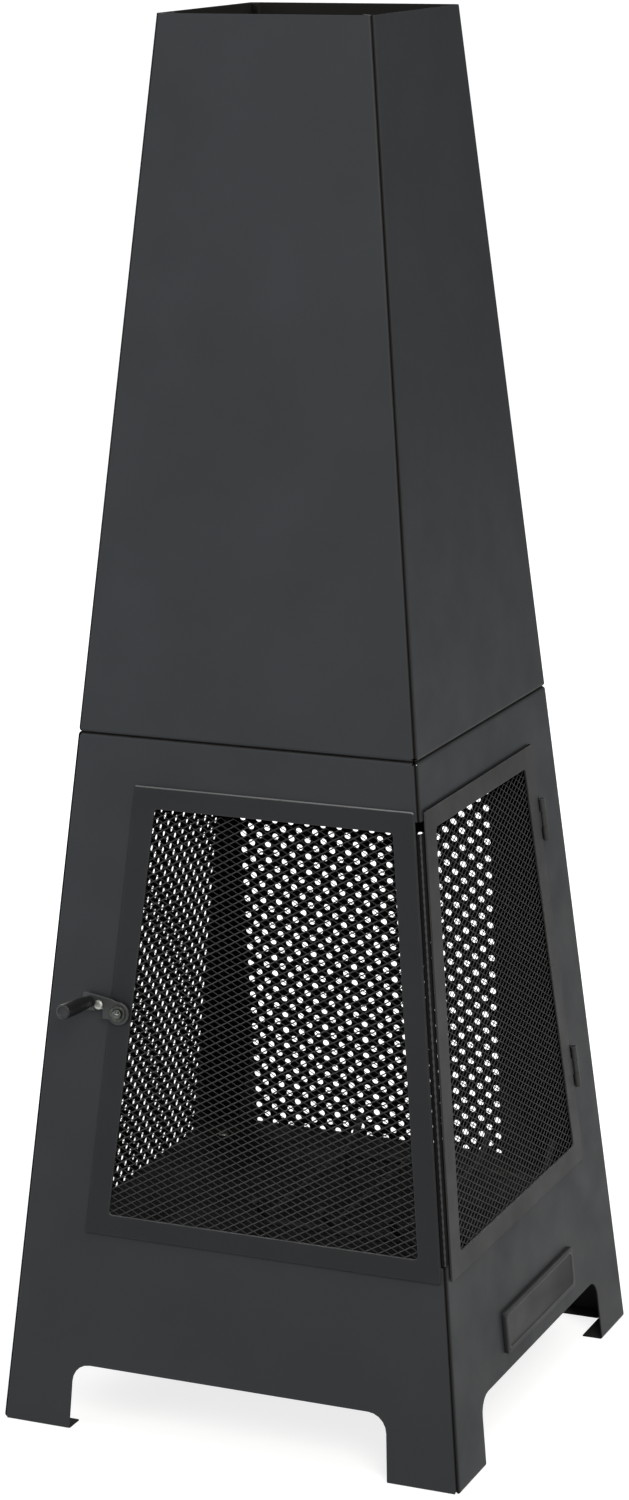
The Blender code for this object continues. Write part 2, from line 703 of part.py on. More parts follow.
def add_chimney_panels(cutters, carrier):
    """The four upper panels, open at the rim."""
    for side, before in zip(SIDES, SIDES_BEFORE):
        skin = panel_skin(SEAM_HEIGHT + GAP / 2, RIM_HEIGHT, SEAM_FLANGE, SEAM_FOLD)
        panel = add_piece("chimney_" + side + "_panel", skin, side_matrix(side), carrier, "paint")
        solidify(panel, SHEET)
        nuts = [corner_bolt_matrix(before, height) for height in (NECK_BOLT_HEIGHT, RIM_BOLT_HEIGHT)]
        add_weld_nuts(panel, nuts + [seam_bolt_matrix(side)], carrier)
        boolean(panel, cutters["seam"])
        boolean(panel, cutters["chimney"])


def add_floor(carrier):
    """The floor pan, the four brackets that carry it and the screws between them."""
    half = half_width(FLOOR_TOP) - SHEET / math.cos(TILT) - FLOOR_SIDE_GAP
    clip = half - DIAGONAL * CORNER_FLANGE
    bm = bmesh.new()
    ring = [(half, -clip), (half, clip), (clip, half), (-clip, half)]
    ring += [(-x, -y) for x, y in ring]
    verts = [bm.verts.new((x, y, FLOOR_TOP)) for x, y in ring]
    bm.faces.new(verts)
    for start in (0, 4):
        edge = verts[start : start + 2]
        hem = [bm.verts.new(vert.co - Vector((0, 0, FLOOR_FLANGE))) for vert in edge]
        bm.faces.new((edge[1], edge[0], hem[0], hem[1]))
    pan = add_piece("floor_pan", bm, IDENTITY, carrier, "inner paint")
    solidify(pan, FLOOR_SHEET)

    hole = hole_radius(FLOOR_SCREW_RADIUS, HEX_SIDES)
    shelf = FLOOR_BOTTOM - GAP
    head = FLOOR_TOP + GAP
    screw = (
        (FLOOR_SCREW_RADIUS, shelf - FLOOR_SCREW_BELOW),
        (FLOOR_SCREW_RADIUS, head),
        (FLOOR_SCREW_HEAD_RADIUS, head),
        (FLOOR_SCREW_HEAD_RADIUS, head + FLOOR_SCREW_HEAD / 2),
        (FLOOR_SCREW_HEAD_RADIUS / 2, head + FLOOR_SCREW_HEAD),
    )
    ends = ((hole, shelf - BRACKET_SHEET - OVERRUN), (hole, FLOOR_TOP + OVERRUN))
    places = {
        "front_left": (0, -FLOOR_SCREW_X),
        "front_right": (0, FLOOR_SCREW_X),
        "back_right": (math.pi, -FLOOR_SCREW_X),
        "back_left": (math.pi, FLOOR_SCREW_X),
    }
    for corner, (turn, x) in places.items():
        middle = Matrix.Rotation(turn, 4, "Z") @ Matrix.Translation((x, 0, 0))
        place = middle @ Matrix.Translation((0, -FLOOR_SCREW_Y, 0))
        bm = bmesh.new()
        add_turning(bm, screw, HEX_SIDES)
        add_piece(corner + "_floor_screw", bm, place, carrier, "zinc")
        bm = bmesh.new()
        add_turning(bm, ends, HEX_SIDES)
        cutter = add_cutter("cut_" + corner + "_floor_screw", bm, place, carrier)
        bm = bmesh.new()
        add_prism(bm, bracket_outline(shelf), -BRACKET_WIDTH / 2, BRACKET_WIDTH / 2, ACROSS)
        bracket = add_piece(corner + "_floor_bracket", bm, middle, carrier, "inner paint")
        boolean(bracket, cutter)
        boolean(pan, cutter)


def bracket_outline(shelf):
    """An angle of sheet seen from its end: a leg against the sloping wall and a shelf under the pan."""
    low = shelf - BRACKET_DROP
    inset = (SHEET + GAP) / math.cos(TILT)
    back = [(-half_width(height) + inset, height) for height in (low, shelf)]
    front = -FLOOR_SCREW_Y + BRACKET_BEYOND_SCREW
    return [
        back[0],
        back[1],
        (front, shelf),
        (front, shelf - BRACKET_SHEET),
        (back[1][0] + BRACKET_SHEET, shelf - BRACKET_SHEET),
        (back[0][0] + BRACKET_SHEET, low),
    ]


def add_grate(carrier):
    """A loose rack: straight rods with turned-up ends, welded on two bent bearers."""
    rods, bearers = bmesh.new(), bmesh.new()
    rod_height = FLOOR_TOP + GRATE_LIFT + GRATE_ROD
    bearer_height = rod_height - 2 * GRATE_ROD + GRATE_WELD
    last_y = GRATE_FIRST_Y - (GRATE_RODS - 1) * GRATE_SPACING
    tip = GRATE_HALF + GRATE_TIP_OUT
    for index in range(GRATE_RODS):
        y = GRATE_FIRST_Y - index * GRATE_SPACING
        path = [
            (-tip, y, rod_height + GRATE_TIP_UP),
            (-GRATE_HALF, y, rod_height),
            (GRATE_HALF, y, rod_height),
            (tip, y, rod_height + GRATE_TIP_UP),
        ]
        add_wire(rods, path, GRATE_ROD, WIRE_SIDES)
    foot = FLOOR_TOP + GAP
    ends = (last_y - GRATE_ROD, GRATE_FIRST_Y + GRATE_ROD)
    inner = GRATE_HALF - GRATE_ROD
    for x in (-inner, inner):
        path = [
            (x, ends[0], foot),
            (x, ends[0], bearer_height - GRATE_LEG_BEND),
            (x, ends[0] + GRATE_LEG_BEND, bearer_height),
            (x, ends[1] - GRATE_LEG_BEND, bearer_height),
            (x, ends[1], bearer_height - GRATE_LEG_BEND),
            (x, ends[1], foot),
        ]
        add_wire(bearers, path, GRATE_ROD, WIRE_SIDES)
    grate = add_piece("fire_grate", rods, IDENTITY, carrier, "inner paint")
    boolean(grate, add_cutter("join_grate_bearers", bearers, IDENTITY, carrier), "UNION")


def frame_outline(hand, near, far, low, high, radius):
    """A door frame's outer or inner edge, square to its panel. Insets count from the casing's corners."""
    points = [
        (-hand * (half_width(low) - near), rise(low)),
        (hand * (half_width(low) - far), rise(low)),
        (hand * (half_width(high) - far), rise(high)),
        (-hand * (half_width(high) - near), rise(high)),
    ]
    return rounded(points, (radius,) * len(points), ROUNDING_STEPS)


def add_door_frame(side, hand, near, stile, carrier):
    """One flat frame of the door, with its window cut out."""
    placement = face_matrix(side)
    outer, window = bmesh.new(), bmesh.new()
    outline = frame_outline(hand, near, FRAME_FAR_INSET, FRAME_LOW, FRAME_HIGH, FRAME_CORNER)
    add_prism(outer, outline, FRAME_STANDOFF, FRAME_FRONT)
    far = FRAME_FAR_INSET + FAR_STILE
    low, high = FRAME_LOW + FRAME_BORDER, FRAME_HIGH - FRAME_BORDER
    outline = frame_outline(hand, near + stile, far, low, high, WINDOW_CORNER)
    add_prism(window, outline, FRAME_STANDOFF - OVERRUN, FRAME_FRONT + OVERRUN)
    frame = add_piece("door_frame_" + side, outer, placement, carrier, "paint")
    boolean(frame, add_cutter("cut_" + side + "_window", window, placement, carrier))
    if side == "left":
        bm = bmesh.new()
        radius = hole_radius(LATCH_SCREW_RADIUS, ROUND_SIDES)
        ends = ((radius, FRAME_STANDOFF - OVERRUN), (radius, FRAME_FRONT + OVERRUN))
        add_turning(bm, ends, ROUND_SIDES)
        boolean(frame, add_cutter("cut_latch_screw_hole", bm, latch_matrix(), carrier))
    chamfer(frame, FRAME_CHAMFER)


def mesh_chain(height):
    """The level section of the mesh sheet, from the left side round the near corner to the front."""
    corner_half = half_width(height) + MESH_FACE / math.cos(TILT)
    far = half_width(height) - MESH_FAR_INSET
    corner = Vector((-corner_half, -corner_half))
    fold = fold_points(corner, Vector((0, 1)), Vector((1, 0)), MESH_FOLD, CORNER_STEPS)
    return [Vector((-corner_half, far))] + fold + [Vector((far, -corner_half))]


def add_door_mesh(carrier):
    """The expanded mesh: one sheet folded round the corner, with staggered diamond openings."""
    bm = bmesh.new()
    chains = []
    for height in (MESH_LOW, MESH_HIGH):
        chains.append([bm.verts.new((*point, height)) for point in mesh_chain(height)])
    for index in range(len(chains[0]) - 1):
        low, high = chains
        bm.faces.new((low[index], low[index + 1], high[index + 1], high[index]))
    mesh = add_piece("door_mesh", bm, IDENTITY, carrier, "paint")
    solidify(mesh, MESH_SHEET)

    half_cell = Vector((MESH_CELL_WIDTH / 2, MESH_CELL_HEIGHT / 2))
    to_side = half_cell.x * half_cell.y / half_cell.length
    reach = half_cell * (to_side - MESH_STRAND / 2) / to_side
    for side, hand in (("left", -1), ("front", 1)):
        cells = bmesh.new()
        low, high = rise(MESH_LOW) + MESH_EDGE + reach.y, rise(MESH_HIGH) - MESH_EDGE - reach.y
        for x, y in staggered(BASE_HALF, low, high, MESH_CELL_WIDTH, MESH_CELL_HEIGHT):
            wide = half_width(y * math.cos(TILT))
            near_room = wide - MESH_CORNER_STRIP - reach.x
            far_room = half_width(y * math.cos(TILT) + reach.y) - MESH_FAR_INSET - MESH_EDGE - reach.x
            if -near_room <= hand * x <= far_room:
                diamond = [(x - reach.x, y), (x, y - reach.y), (x + reach.x, y), (x, y + reach.y)]
                add_prism(cells, diamond, MESH_FACE - MESH_SHEET - OVERRUN, MESH_FACE + OVERRUN)
        boolean(mesh, add_cutter("cut_" + side + "_cells", cells, face_matrix(side), carrier))


def strip_outline(path, thickness):
    """The outline of a bent strip of sheet, seen along its edge."""
    path = [Vector(point) for point in path]
    runs = [(after - point).normalized() for point, after in zip(path, path[1:])]
    sides = ([], [])
    for index, point in enumerate(path):
        before = runs[max(index - 1, 0)]
        ahead = runs[min(index, len(runs) - 1)]
        across = turned((before + ahead).normalized(), QUARTER_TURN)
        reach = thickness / 2 / math.cos(before.angle(ahead) / 2)
        sides[0].append(point + across * reach)
        sides[1].append(point - across * reach)
    return sides[0] + sides[1][::-1]


def add_hinge(name, height, body, door):
    """A rolled hinge: a body leaf that passes through a slot, a door leaf and the pin."""
    placement = hinge_matrix(height)
    upright = Matrix.Rotation(QUARTER_TURN, 4, "X")
    half = HINGE_LENGTH / 2
    centre = Vector((0, 0))

    edge = -(FRAME_FAR_INSET - HINGE_INSET) + GAP
    path = [(edge, -CURL_RADIUS)]
    path += arc(centre, CURL_RADIUS, DOOR_CURL_START, DOOR_CURL_END, CURL_STEPS)
    bm = bmesh.new()
    add_prism(bm, strip_outline(path, HINGE_STRIP), -HINGE_KNUCKLE / 2, HINGE_KNUCKLE / 2, upright)
    add_piece(name + "_hinge_door_leaf", bm, placement, door, "paint")

    inside = -HINGE_STANDOFF - SHEET - GAP - HINGE_STRIP / 2
    path = [(CURL_RADIUS + HINGE_LEAF, inside), (CURL_RADIUS, inside)]
    path += arc(centre, CURL_RADIUS, BODY_CURL_START, BODY_CURL_END, CURL_STEPS)
    bm = bmesh.new()
    add_prism(bm, strip_outline(path, HINGE_STRIP), -half, half, upright)
    leaf = add_piece(name + "_hinge_body_leaf", bm, placement, body, "paint")
    bm = bmesh.new()
    reach = CURL_RADIUS + HINGE_STRIP + OVERRUN
    relief = HINGE_KNUCKLE / 2 + GAP
    floor = -HINGE_STANDOFF - SHEET
    window = [(-reach, -relief), (reach, -relief), (reach, relief), (-reach, relief)]
    add_prism(bm, window, floor, reach)
    rivet = Matrix.Translation((*rivet_place(), 0))
    radius = hole_radius(RIVET_RADIUS, HEX_SIDES)
    ends = ((radius, inside - HINGE_STRIP), (radius, inside + HINGE_STRIP))
    add_turning(bm, ends, HEX_SIDES, rivet)
    boolean(leaf, add_cutter("cut_" + name + "_leaf", bm, placement, body))

    bm = bmesh.new()
    add_turning(bm, ((HINGE_PIN_RADIUS, -half), (HINGE_PIN_RADIUS, half)), ROUND_SIDES, upright)
    add_piece(name + "_hinge_pin", bm, placement, body, "zinc")


def add_hinge_rivet(name, height, carrier):
    """The rivet that holds a hinge's body leaf to the front panel."""
    outside = -HINGE_STANDOFF + GAP
    inside = -HINGE_STANDOFF - SHEET - HINGE_STRIP - 2 * GAP
    profile = (
        (RIVET_HEAD_RADIUS, inside - RIVET_HEAD),
        (RIVET_HEAD_RADIUS, inside),
        (RIVET_RADIUS, inside),
        (RIVET_RADIUS, outside),
        (RIVET_HEAD_RADIUS, outside),
        (RIVET_HEAD_RADIUS / 2, outside + RIVET_HEAD),
    )
    bm = bmesh.new()
    add_turning(bm, profile, HEX_SIDES)
    placement = hinge_matrix(height) @ Matrix.Translation((*rivet_place(), 0))
    add_piece(name + "_hinge_rivet", bm, placement, carrier, "paint")


def lever_outline():
    """The latch lever from outside: round boss, finger, open hook and broad tip. It points to -X."""
    slot = KEEPER_RADIUS + KEEPER_PLAY + GAP
    finger_angle = math.tau - math.asin(LEVER_FINGER_DROP / LEVER_BOSS)
    outline = arc(Vector((0, 0)), LEVER_BOSS, BOSS_START, finger_angle, BOSS_STEPS)
    outline.append(Vector((KEEPER_REACH - slot, -LEVER_FINGER_DROP)))
    outline += arc(Vector((KEEPER_REACH, KEEPER_RISE)), slot, math.pi, 0, ROUNDING_STEPS * 2)
    outline.append(Vector((KEEPER_REACH + slot, 0)))
    tip = [(KEEPER_REACH, 0), (LEVER_TIP, 0), (LEVER_TIP, LEVER_TIP_TOP), (LEVER_NECK, LEVER_NECK_TOP)]
    radii = (0, LEVER_CORNER, LEVER_CORNER, 0)
    outline += rounded(tip, radii, ROUNDING_STEPS)[1:]
    return [Vector((-point.x, point.y)) for point in outline]


def add_latch(body, door, latch):
    """The lever with its grip, the screw and washers it turns on, and the keeper stud it hooks."""
    placement = latch_matrix()
    grip_place = Matrix.Translation((-GRIP_REACH, GRIP_RISE, 0))
    keeper_place = placement @ Matrix.Translation((-KEEPER_REACH, KEEPER_RISE, 0))
    screw_hole = hole_radius(LATCH_SCREW_RADIUS, ROUND_SIDES)

    bm = bmesh.new()
    add_prism(bm, lever_outline(), LEVER_BACK, LEVER_FRONT)
    lever = add_piece("latch_lever", bm, placement, latch, "paint")
    bm = bmesh.new()
    low, high = LEVER_BACK - OVERRUN, LEVER_FRONT + OVERRUN
    add_turning(bm, ((screw_hole, low), (screw_hole, high)), ROUND_SIDES)
    radius = hole_radius(GRIP_SCREW_RADIUS, ROUND_SIDES)
    add_turning(bm, ((radius, low), (radius, high)), ROUND_SIDES, grip_place)
    boolean(lever, add_cutter("cut_lever_holes", bm, placement, latch))
    chamfer(lever, FRAME_CHAMFER)

    for name, start in (("latch_back_washer", BACK_WASHER), ("latch_front_washer", FRONT_WASHER)):
        end = start + WASHER_SHEET
        ring = ((screw_hole, start), (WASHER_RADIUS, start), (WASHER_RADIUS, end), (screw_hole, end))
        bm = bmesh.new()
        add_turning(bm, ring, GRIP_SIDES, hollow=True)
        add_piece(name, bm, placement, door, "zinc")

    bm = bmesh.new()
    seat = FRONT_WASHER + WASHER_SHEET + GAP
    profile = (
        (LATCH_SCREW_RADIUS, FRAME_STANDOFF),
        (LATCH_SCREW_RADIUS, seat),
        (LATCH_SCREW_HEAD_RADIUS, seat),
        (LATCH_SCREW_HEAD_RADIUS, seat + LATCH_SCREW_HEAD - LATCH_SCREW_DOME),
        (LATCH_SCREW_HEAD_RADIUS - LATCH_SCREW_DOME, seat + LATCH_SCREW_HEAD),
    )
    add_turning(bm, profile, ROUND_SIDES)
    screw = add_piece("latch_screw", bm, placement, door, "zinc")
    bm = bmesh.new()
    long, wide = RECESS_LENGTH / 2, RECESS_WIDTH / 2
    cross = [(long, -wide), (long, wide), (wide, wide), (wide, long), (-wide, long), (-wide, wide)]
    cross += [(-x, -y) for x, y in cross]
    top = seat + LATCH_SCREW_HEAD
    add_prism(bm, cross, top - RECESS_DEPTH, top + OVERRUN)
    boolean(screw, add_cutter("cut_screw_recess", bm, placement, door))

    bm = bmesh.new()
    bore = hole_radius(GRIP_SCREW_RADIUS, GRIP_SIDES)
    end = GRIP_START + GRIP_LENGTH
    profile = (
        (bore, GRIP_START),
        (GRIP_ROOT_RADIUS, GRIP_START),
        (GRIP_RADIUS, end - GRIP_LENGTH / 2),
        (GRIP_RADIUS, end - GRIP_ROUNDING),
        (GRIP_RADIUS - GRIP_ROUNDING, end),
    )
    rings = add_blind_turning(bm, profile, GRIP_START + GRIP_SCREW_DEPTH + GAP, GRIP_SIDES)
    add_piece("latch_grip", rings, placement @ grip_place, latch, "grip")

    bm = bmesh.new()
    seat = LEVER_BACK - GAP
    profile = (
        (GRIP_SCREW_HEAD_RADIUS, seat - GRIP_SCREW_HEAD),
        (GRIP_SCREW_HEAD_RADIUS, seat),
        (GRIP_SCREW_RADIUS, seat),
        (GRIP_SCREW_RADIUS, GRIP_START + GRIP_SCREW_DEPTH),
    )
    add_turning(bm, profile, ROUND_SIDES)
    add_piece("latch_grip_screw", bm, placement @ grip_place, latch, "zinc")

    bm = bmesh.new()
    nut_start = -SHEET - GAP
    nut_end = nut_start - KEEPER_NUT
    profile = (
        (KEEPER_RADIUS, nut_end - GAP),
        (KEEPER_RADIUS, GAP),
        (KEEPER_COLLAR_RADIUS, GAP),
        (KEEPER_COLLAR_RADIUS, LEVER_BACK - GAP),
        (KEEPER_RADIUS, LEVER_BACK - GAP),
        (KEEPER_RADIUS, LEVER_FRONT + GAP),
        (KEEPER_HEAD_RADIUS, LEVER_FRONT + GAP),
        (KEEPER_HEAD_RADIUS, LEVER_FRONT + GAP + KEEPER_HEAD / 2),
        (KEEPER_HEAD_RADIUS / 2, LEVER_FRONT + GAP + KEEPER_HEAD),
    )
    add_turning(bm, profile, ROUND_SIDES)
    add_piece("latch_keeper", bm, keeper_place, body, "zinc")
    bm = bmesh.new()
    bore = hole_radius(KEEPER_RADIUS, ROUND_SIDES)
    ring = (
        (bore, nut_end),
        (KEEPER_NUT_RADIUS, nut_end),
        (KEEPER_NUT_RADIUS, nut_start),
        (bore, nut_start),
    )
    add_turning(bm, ring, ROUND_SIDES, hollow=True)
    add_piece("latch_keeper_nut", bm, keeper_place, body, "zinc")


def add_blind_turning(bm, profile, bore_end, sides):
    """A turned solid with a blind bore: the profile runs from the bore's mouth to the far end."""
    bore = profile[0][0]
    add_turning(bm, ((bore, bore_end),) + tuple(profile), sides)
    return bm


def add_badge(carrier):
    """A bare plate with a raised rim along its own edge."""
    half = BADGE_WIDTH / 2
    low, high = rise(BADGE_LOW), rise(BADGE_HIGH)
    plates = []
    for inset, radius in ((0, BADGE_CORNER), (BADGE_RIM, BADGE_CORNER - BADGE_RIM / 2)):
        points = [
            (-half + inset, low + inset),
            (half - inset, low + inset),
            (half - inset, high - inset),
            (-half + inset, high - inset),
        ]
        plates.append(rounded(points, (radius,) * len(points), ROUNDING_STEPS))
    placement = face_matrix("front")
    front = GAP + BADGE_PLATE
    bm = bmesh.new()
    add_prism(bm, plates[0], GAP, front)
    badge = add_piece("badge_plate", bm, placement, carrier, "paint")
    bm = bmesh.new()
    add_prism(bm, plates[1], front - BADGE_RECESS, front + OVERRUN)
    boolean(badge, add_cutter("cut_badge_recess", bm, placement, carrier))
    chamfer(badge, BADGE_CHAMFER)


def centre_shift():
    """How far the casing stands to +X, so that the box with the latch grip is centred on the origin."""
    grip_low = rise(LATCH_HEIGHT) + GRIP_RISE - GRIP_RADIUS + GRIP_ROUNDING
    grip_end = GRIP_START + GRIP_LENGTH
    grip_reach = BASE_HALF - grip_low * math.sin(TILT) + grip_end * math.cos(TILT)
    fold_height = FOOT_FOLD / math.tan((QUARTER_TURN - TILT) / 2) * math.cos(TILT)
    return (grip_reach - half_width(fold_height)) / 2


def build():
    clear_scene()
    shift = Matrix.Translation((centre_shift(), 0, 0))
    origin = add_carrier("chiminea", shift)
    origin["axes"] = [list(row) for row in IDENTITY]
    hinge_axes = hinge_matrix((UPPER_HINGE_HEIGHT + LOWER_HINGE_HEIGHT) / 2)
    door = add_carrier("door_hinge_axis", hinge_axes, origin)
    latch = add_carrier("latch_axis", latch_matrix(), origin)

    cutters = add_bolts(origin)
    add_body_panels(cutters, origin)
    add_chimney_panels(cutters, origin)
    add_floor(origin)
    add_grate(origin)
    add_badge(origin)
    add_door_frame("left", -1, LEFT_FRAME_NEAR_INSET, LEFT_NEAR_STILE, door)
    add_door_frame("front", 1, FRONT_FRAME_NEAR_INSET, FRONT_NEAR_STILE, door)
    add_door_mesh(door)
    add_hinge("upper", UPPER_HINGE_HEIGHT, origin, door)
    add_hinge("lower", LOWER_HINGE_HEIGHT, origin, door)
    add_hinge_rivet("upper", UPPER_HINGE_HEIGHT, origin)
    add_hinge_rivet("lower", LOWER_HINGE_HEIGHT, origin)
    add_latch(origin, door, latch)


build()
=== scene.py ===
"""Looks of the chiminea: satin black sheet steel, true perforated walls and a folded expanded mesh.

Lengths are in metres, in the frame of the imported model.
"""

import json
import math

import bmesh
import bpy
from mathutils import Matrix, Vector
from mathutils.geometry import delaunay_2d_cdt


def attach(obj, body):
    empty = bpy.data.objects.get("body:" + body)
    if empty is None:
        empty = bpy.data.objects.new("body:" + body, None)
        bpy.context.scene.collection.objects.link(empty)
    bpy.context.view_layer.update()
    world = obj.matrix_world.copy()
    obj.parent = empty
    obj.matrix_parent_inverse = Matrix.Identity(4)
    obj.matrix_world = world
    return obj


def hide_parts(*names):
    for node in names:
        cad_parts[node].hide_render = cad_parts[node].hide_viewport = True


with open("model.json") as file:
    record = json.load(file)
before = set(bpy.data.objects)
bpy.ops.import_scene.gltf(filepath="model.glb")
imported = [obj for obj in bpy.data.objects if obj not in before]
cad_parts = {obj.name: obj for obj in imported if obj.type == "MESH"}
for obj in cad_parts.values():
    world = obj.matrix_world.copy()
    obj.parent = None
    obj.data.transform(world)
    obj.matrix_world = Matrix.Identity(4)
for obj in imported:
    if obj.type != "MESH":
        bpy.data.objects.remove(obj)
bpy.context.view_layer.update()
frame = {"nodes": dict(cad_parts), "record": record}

# Casing, as in the solids
SHIFT = 0.008988
BASE_HALF = 0.200
RIM_HALF = 0.090
RIM_HEIGHT = 1.125
SHEET = 0.0012
SLOPE = (BASE_HALF - RIM_HALF) / RIM_HEIGHT
TILT = math.atan(SLOPE)
QUARTER_TURN = math.pi / 2
SIDE_TURN_SHARES = {"front": 0.0, "right": 0.25, "back": 0.5, "left": 0.75}
SEAM_HEIGHT = 0.569
FLOOR_TOP = 0.139

# Perforation of the right and back walls: half its staggered pitch, and where it starts
HOLE_RADIUS = 0.003
HOLE_STEP = 0.00758
HOLE_SIDES = 16
HOLE_FIRST_COLUMN = -0.0873
HOLE_FIRST_ROW = 0.1397
HOLE_COLUMNS = 31
HOLE_ROWS = 50
HOLE_CORNER_ROOM = 0.0162

# Where the solids have their larger holes: from low to high, and how far from the corner lines
FIELD_LOW = 0.120
FIELD_HIGH = 0.535
FIELD_CORNER_ROOM = 0.004

# Door frames: insets from the casing's corner lines, front face, and corner and edge of the solids
FRAME_LOW = 0.166
FRAME_HIGH = 0.5315
FRAME_FAR_INSET = 0.0565
FRAME_NEAR_INSETS = {"left": 0.0035, "front": 0.006}
FRAME_FRONT = 0.0024
FRAME_CORNER = 0.004
FRAME_EDGE = 0.0006

# Corners and rolled edge that the frames have here, and the band that takes in a solid's corner arc
FAR_CORNER = 0.001
NEAR_CORNER = 0.0025
FRAME_ROLL = 0.0008
ARC_INSIDE = FRAME_CORNER * 0.8
ARC_OUTSIDE = FRAME_CORNER * 1.02
ARC_END_ROOM = 0.0006

# Top edge of a frame, painted lighter on the left frame as painted highlight and near black on the front
# frame as painted shadow: how much its faces point up the slope at least, and out of the wall
TOP_EDGE_UP = 0.3
TOP_EDGE_LEAST_OUT = {"left": 0.3, "front": 0.0}
TOP_EDGE_MOST_OUT = 0.9

# Expanded mesh of the door, and the uncut strip along its fold
MESH_LOW = 0.1806
MESH_HIGH = 0.515
MESH_FAR_INSET = 0.0675
MESH_FACE = 0.0005
MESH_LONG_WAY = 0.0112
MESH_SHORT_WAY = 0.0059
MESH_STRAND = 0.0007
MESH_BOND = 0.0009
MESH_SHEET = 0.0005
MESH_TWIST = 0.0002
MESH_FOLD = 0.0022
FOLD_BAND = (-0.0040, 0.0075)
FOLD_BAND_RISE = 0.00005
FOLD_RIDGE = (-0.0010, 0.0010)
FOLD_RIDGE_RISE = 0.00015
FOLD_WAVE = 0.0003
FOLD_WAVE_STEPS = 6
FOLD_PARTS = 12

# Latch, in its own axes: across its screw, up the wall and out of it
LATCH_HEIGHT = 0.3484
LATCH_INSET = 0.0655
LEVER_BACK = 0.0040
BACK_WASHER = 0.0027
FRONT_WASHER = 0.0063
WASHER_RADIUS = 0.0068
WASHER_BORE = 0.0028
WASHER_SHEET = 0.0010

# Latch screw, with shares of its head's radius and height for the dome, and its cross recess
SCREW_START = 0.0008
SCREW_RADIUS = 0.0025
SCREW_SEAT = 0.0076
SCREW_HEAD_RADIUS = 0.0044
SCREW_HEAD = 0.0024
SCREW_SHOULDER = 0.55
SCREW_DOME_RADIUS = 0.93
SCREW_DOME_DROP = 0.16
SCREW_FLAT = 0.0031
RECESS_LONG = 0.0025
RECESS_WIDE = 0.00055
RECESS_DEPTH = 0.0013
RECESS_TAPER = 0.8

# Keeper stud, from its end behind the wall: shank, nut, neck and domed cap, as radius and height
KEEPER_PLACE = (-0.0168, 0.0056, 0)
KEEPER_SHANK = 0.0022
KEEPER_NUT = 0.0042
KEEPER_CAP = 0.0040
KEEPER_PROFILE = (
    (0, -0.0046), (KEEPER_SHANK, -0.0046), (KEEPER_SHANK, 0.0003),
    (KEEPER_NUT, 0.0003), (KEEPER_NUT, 0.0037), (KEEPER_SHANK, 0.0037), (KEEPER_SHANK, 0.0063),
    (KEEPER_CAP, 0.0063), (KEEPER_CAP, 0.0068), (0.0036, 0.0076), (0.0024, 0.0082), (0, 0.0083),
)

# Grip and its screw, as radius and height over the front washer
GRIP_PLACE = (-0.0255, 0.0073, 0)
GRIP_LENGTH = 0.046
GRIP_RADIUS = 0.0060
GRIP_BORE = 0.0023
GRIP_BORE_DEPTH = 0.0123
GRIP_DISH = GRIP_LENGTH - 0.0005
GRIP_PROFILE = (
    (GRIP_BORE, GRIP_BORE_DEPTH), (GRIP_BORE, 0), (0.0045, 0), (0.0054, 0.012), (GRIP_RADIUS, 0.024),
    (GRIP_RADIUS, GRIP_LENGTH - 0.0008), (0.0052, GRIP_LENGTH), (0.0040, GRIP_LENGTH),
    (0.0037, GRIP_DISH), (0, GRIP_DISH),
)
GRIP_SCREW_RADIUS = 0.0020
GRIP_SCREW_END = FRONT_WASHER + 0.012
GRIP_SCREW_HEAD_RADIUS = 0.0040
GRIP_SCREW_HEAD = 0.0008
GRIP_SCREW_GAP = 0.0003

# Hinges: leaves rolled from strip, with the curls as start and end in degrees
HINGE_HEIGHTS = {"upper": 0.465, "lower": 0.2472}
HINGE_INSET = 0.050
HINGE_STANDOFF = 0.003
HINGE_HALF = 0.018
HINGE_STRIP = 0.001
CURL_RADIUS = 0.002
CURL_STEPS = 26
BODY_CURL = (0, 285)
DOOR_CURL = (-90, 200)
KNUCKLE_HALF = 0.006
KNUCKLE_GAP = 0.0003
DOOR_LEAF_END = -0.0062
BODY_LEAF_END = 0.014
BODY_LEAF_DEPTH = -0.005
PIN_RADIUS = 0.0012

# Rivets of the body leaves: closed head behind, shank and dome, as radius and height
RIVET_PLACE = (0.0085, -0.0115, 0)
RIVET_SHANK = 0.0012
RIVET_HEAD = 0.0023
RIVET_PROFILE = (
    (0, -0.0069), (RIVET_HEAD, -0.0069), (RIVET_HEAD, -0.0058), (RIVET_SHANK, -0.0058),
    (RIVET_SHANK, -0.0027), (RIVET_HEAD, -0.0027), (0.0020, -0.0020), (0.0012, -0.0016), (0, -0.0016),
)

# Bolts: heights on each corner, and shares of the radius for the head's flat, thread and tip
CORNERS = {"front": "front_right", "right": "back_right", "back": "back_left", "left": "front_left"}
BOLT_HEIGHTS = {"foot": 0.100, "shoulder": 0.545, "neck": 0.600, "rim": 1.108}
BOLT_SETBACK = 0.011
BOLT_SEAT = -0.00165
BOLT_RADIUS = 0.0020
BOLT_END = 0.00585
BOLT_HEAD_RADIUS = 0.0038
BOLT_HEAD = 0.0026
BOLT_HEAD_FLAT = 0.86
BOLT_CHAMFER = 0.0005
BOLT_TIP = 0.9
THREAD = 0.0007
THREAD_ROOT = 0.86
SEAM_BOLT_DEPTH = 0.0085

# Floor screws: places on the floor, and the pan head as radius and height over its seat
FLOOR_SCREWS = {
    "front_left": (-0.138, -0.154),
    "front_right": (0.138, -0.154),
    "back_right": (0.138, 0.154),
    "back_left": (-0.138, 0.154),
}
FLOOR_SCREW_SEAT = FLOOR_TOP + 0.0003
FLOOR_SCREW_END = 0.1312
FLOOR_SCREW_RADIUS = 0.0020
FLOOR_SCREW_HEAD = ((0.0045, 0), (0.0045, 0.0008), (0.0038, 0.0017), (0.0022, 0.0022), (0, 0.0022))

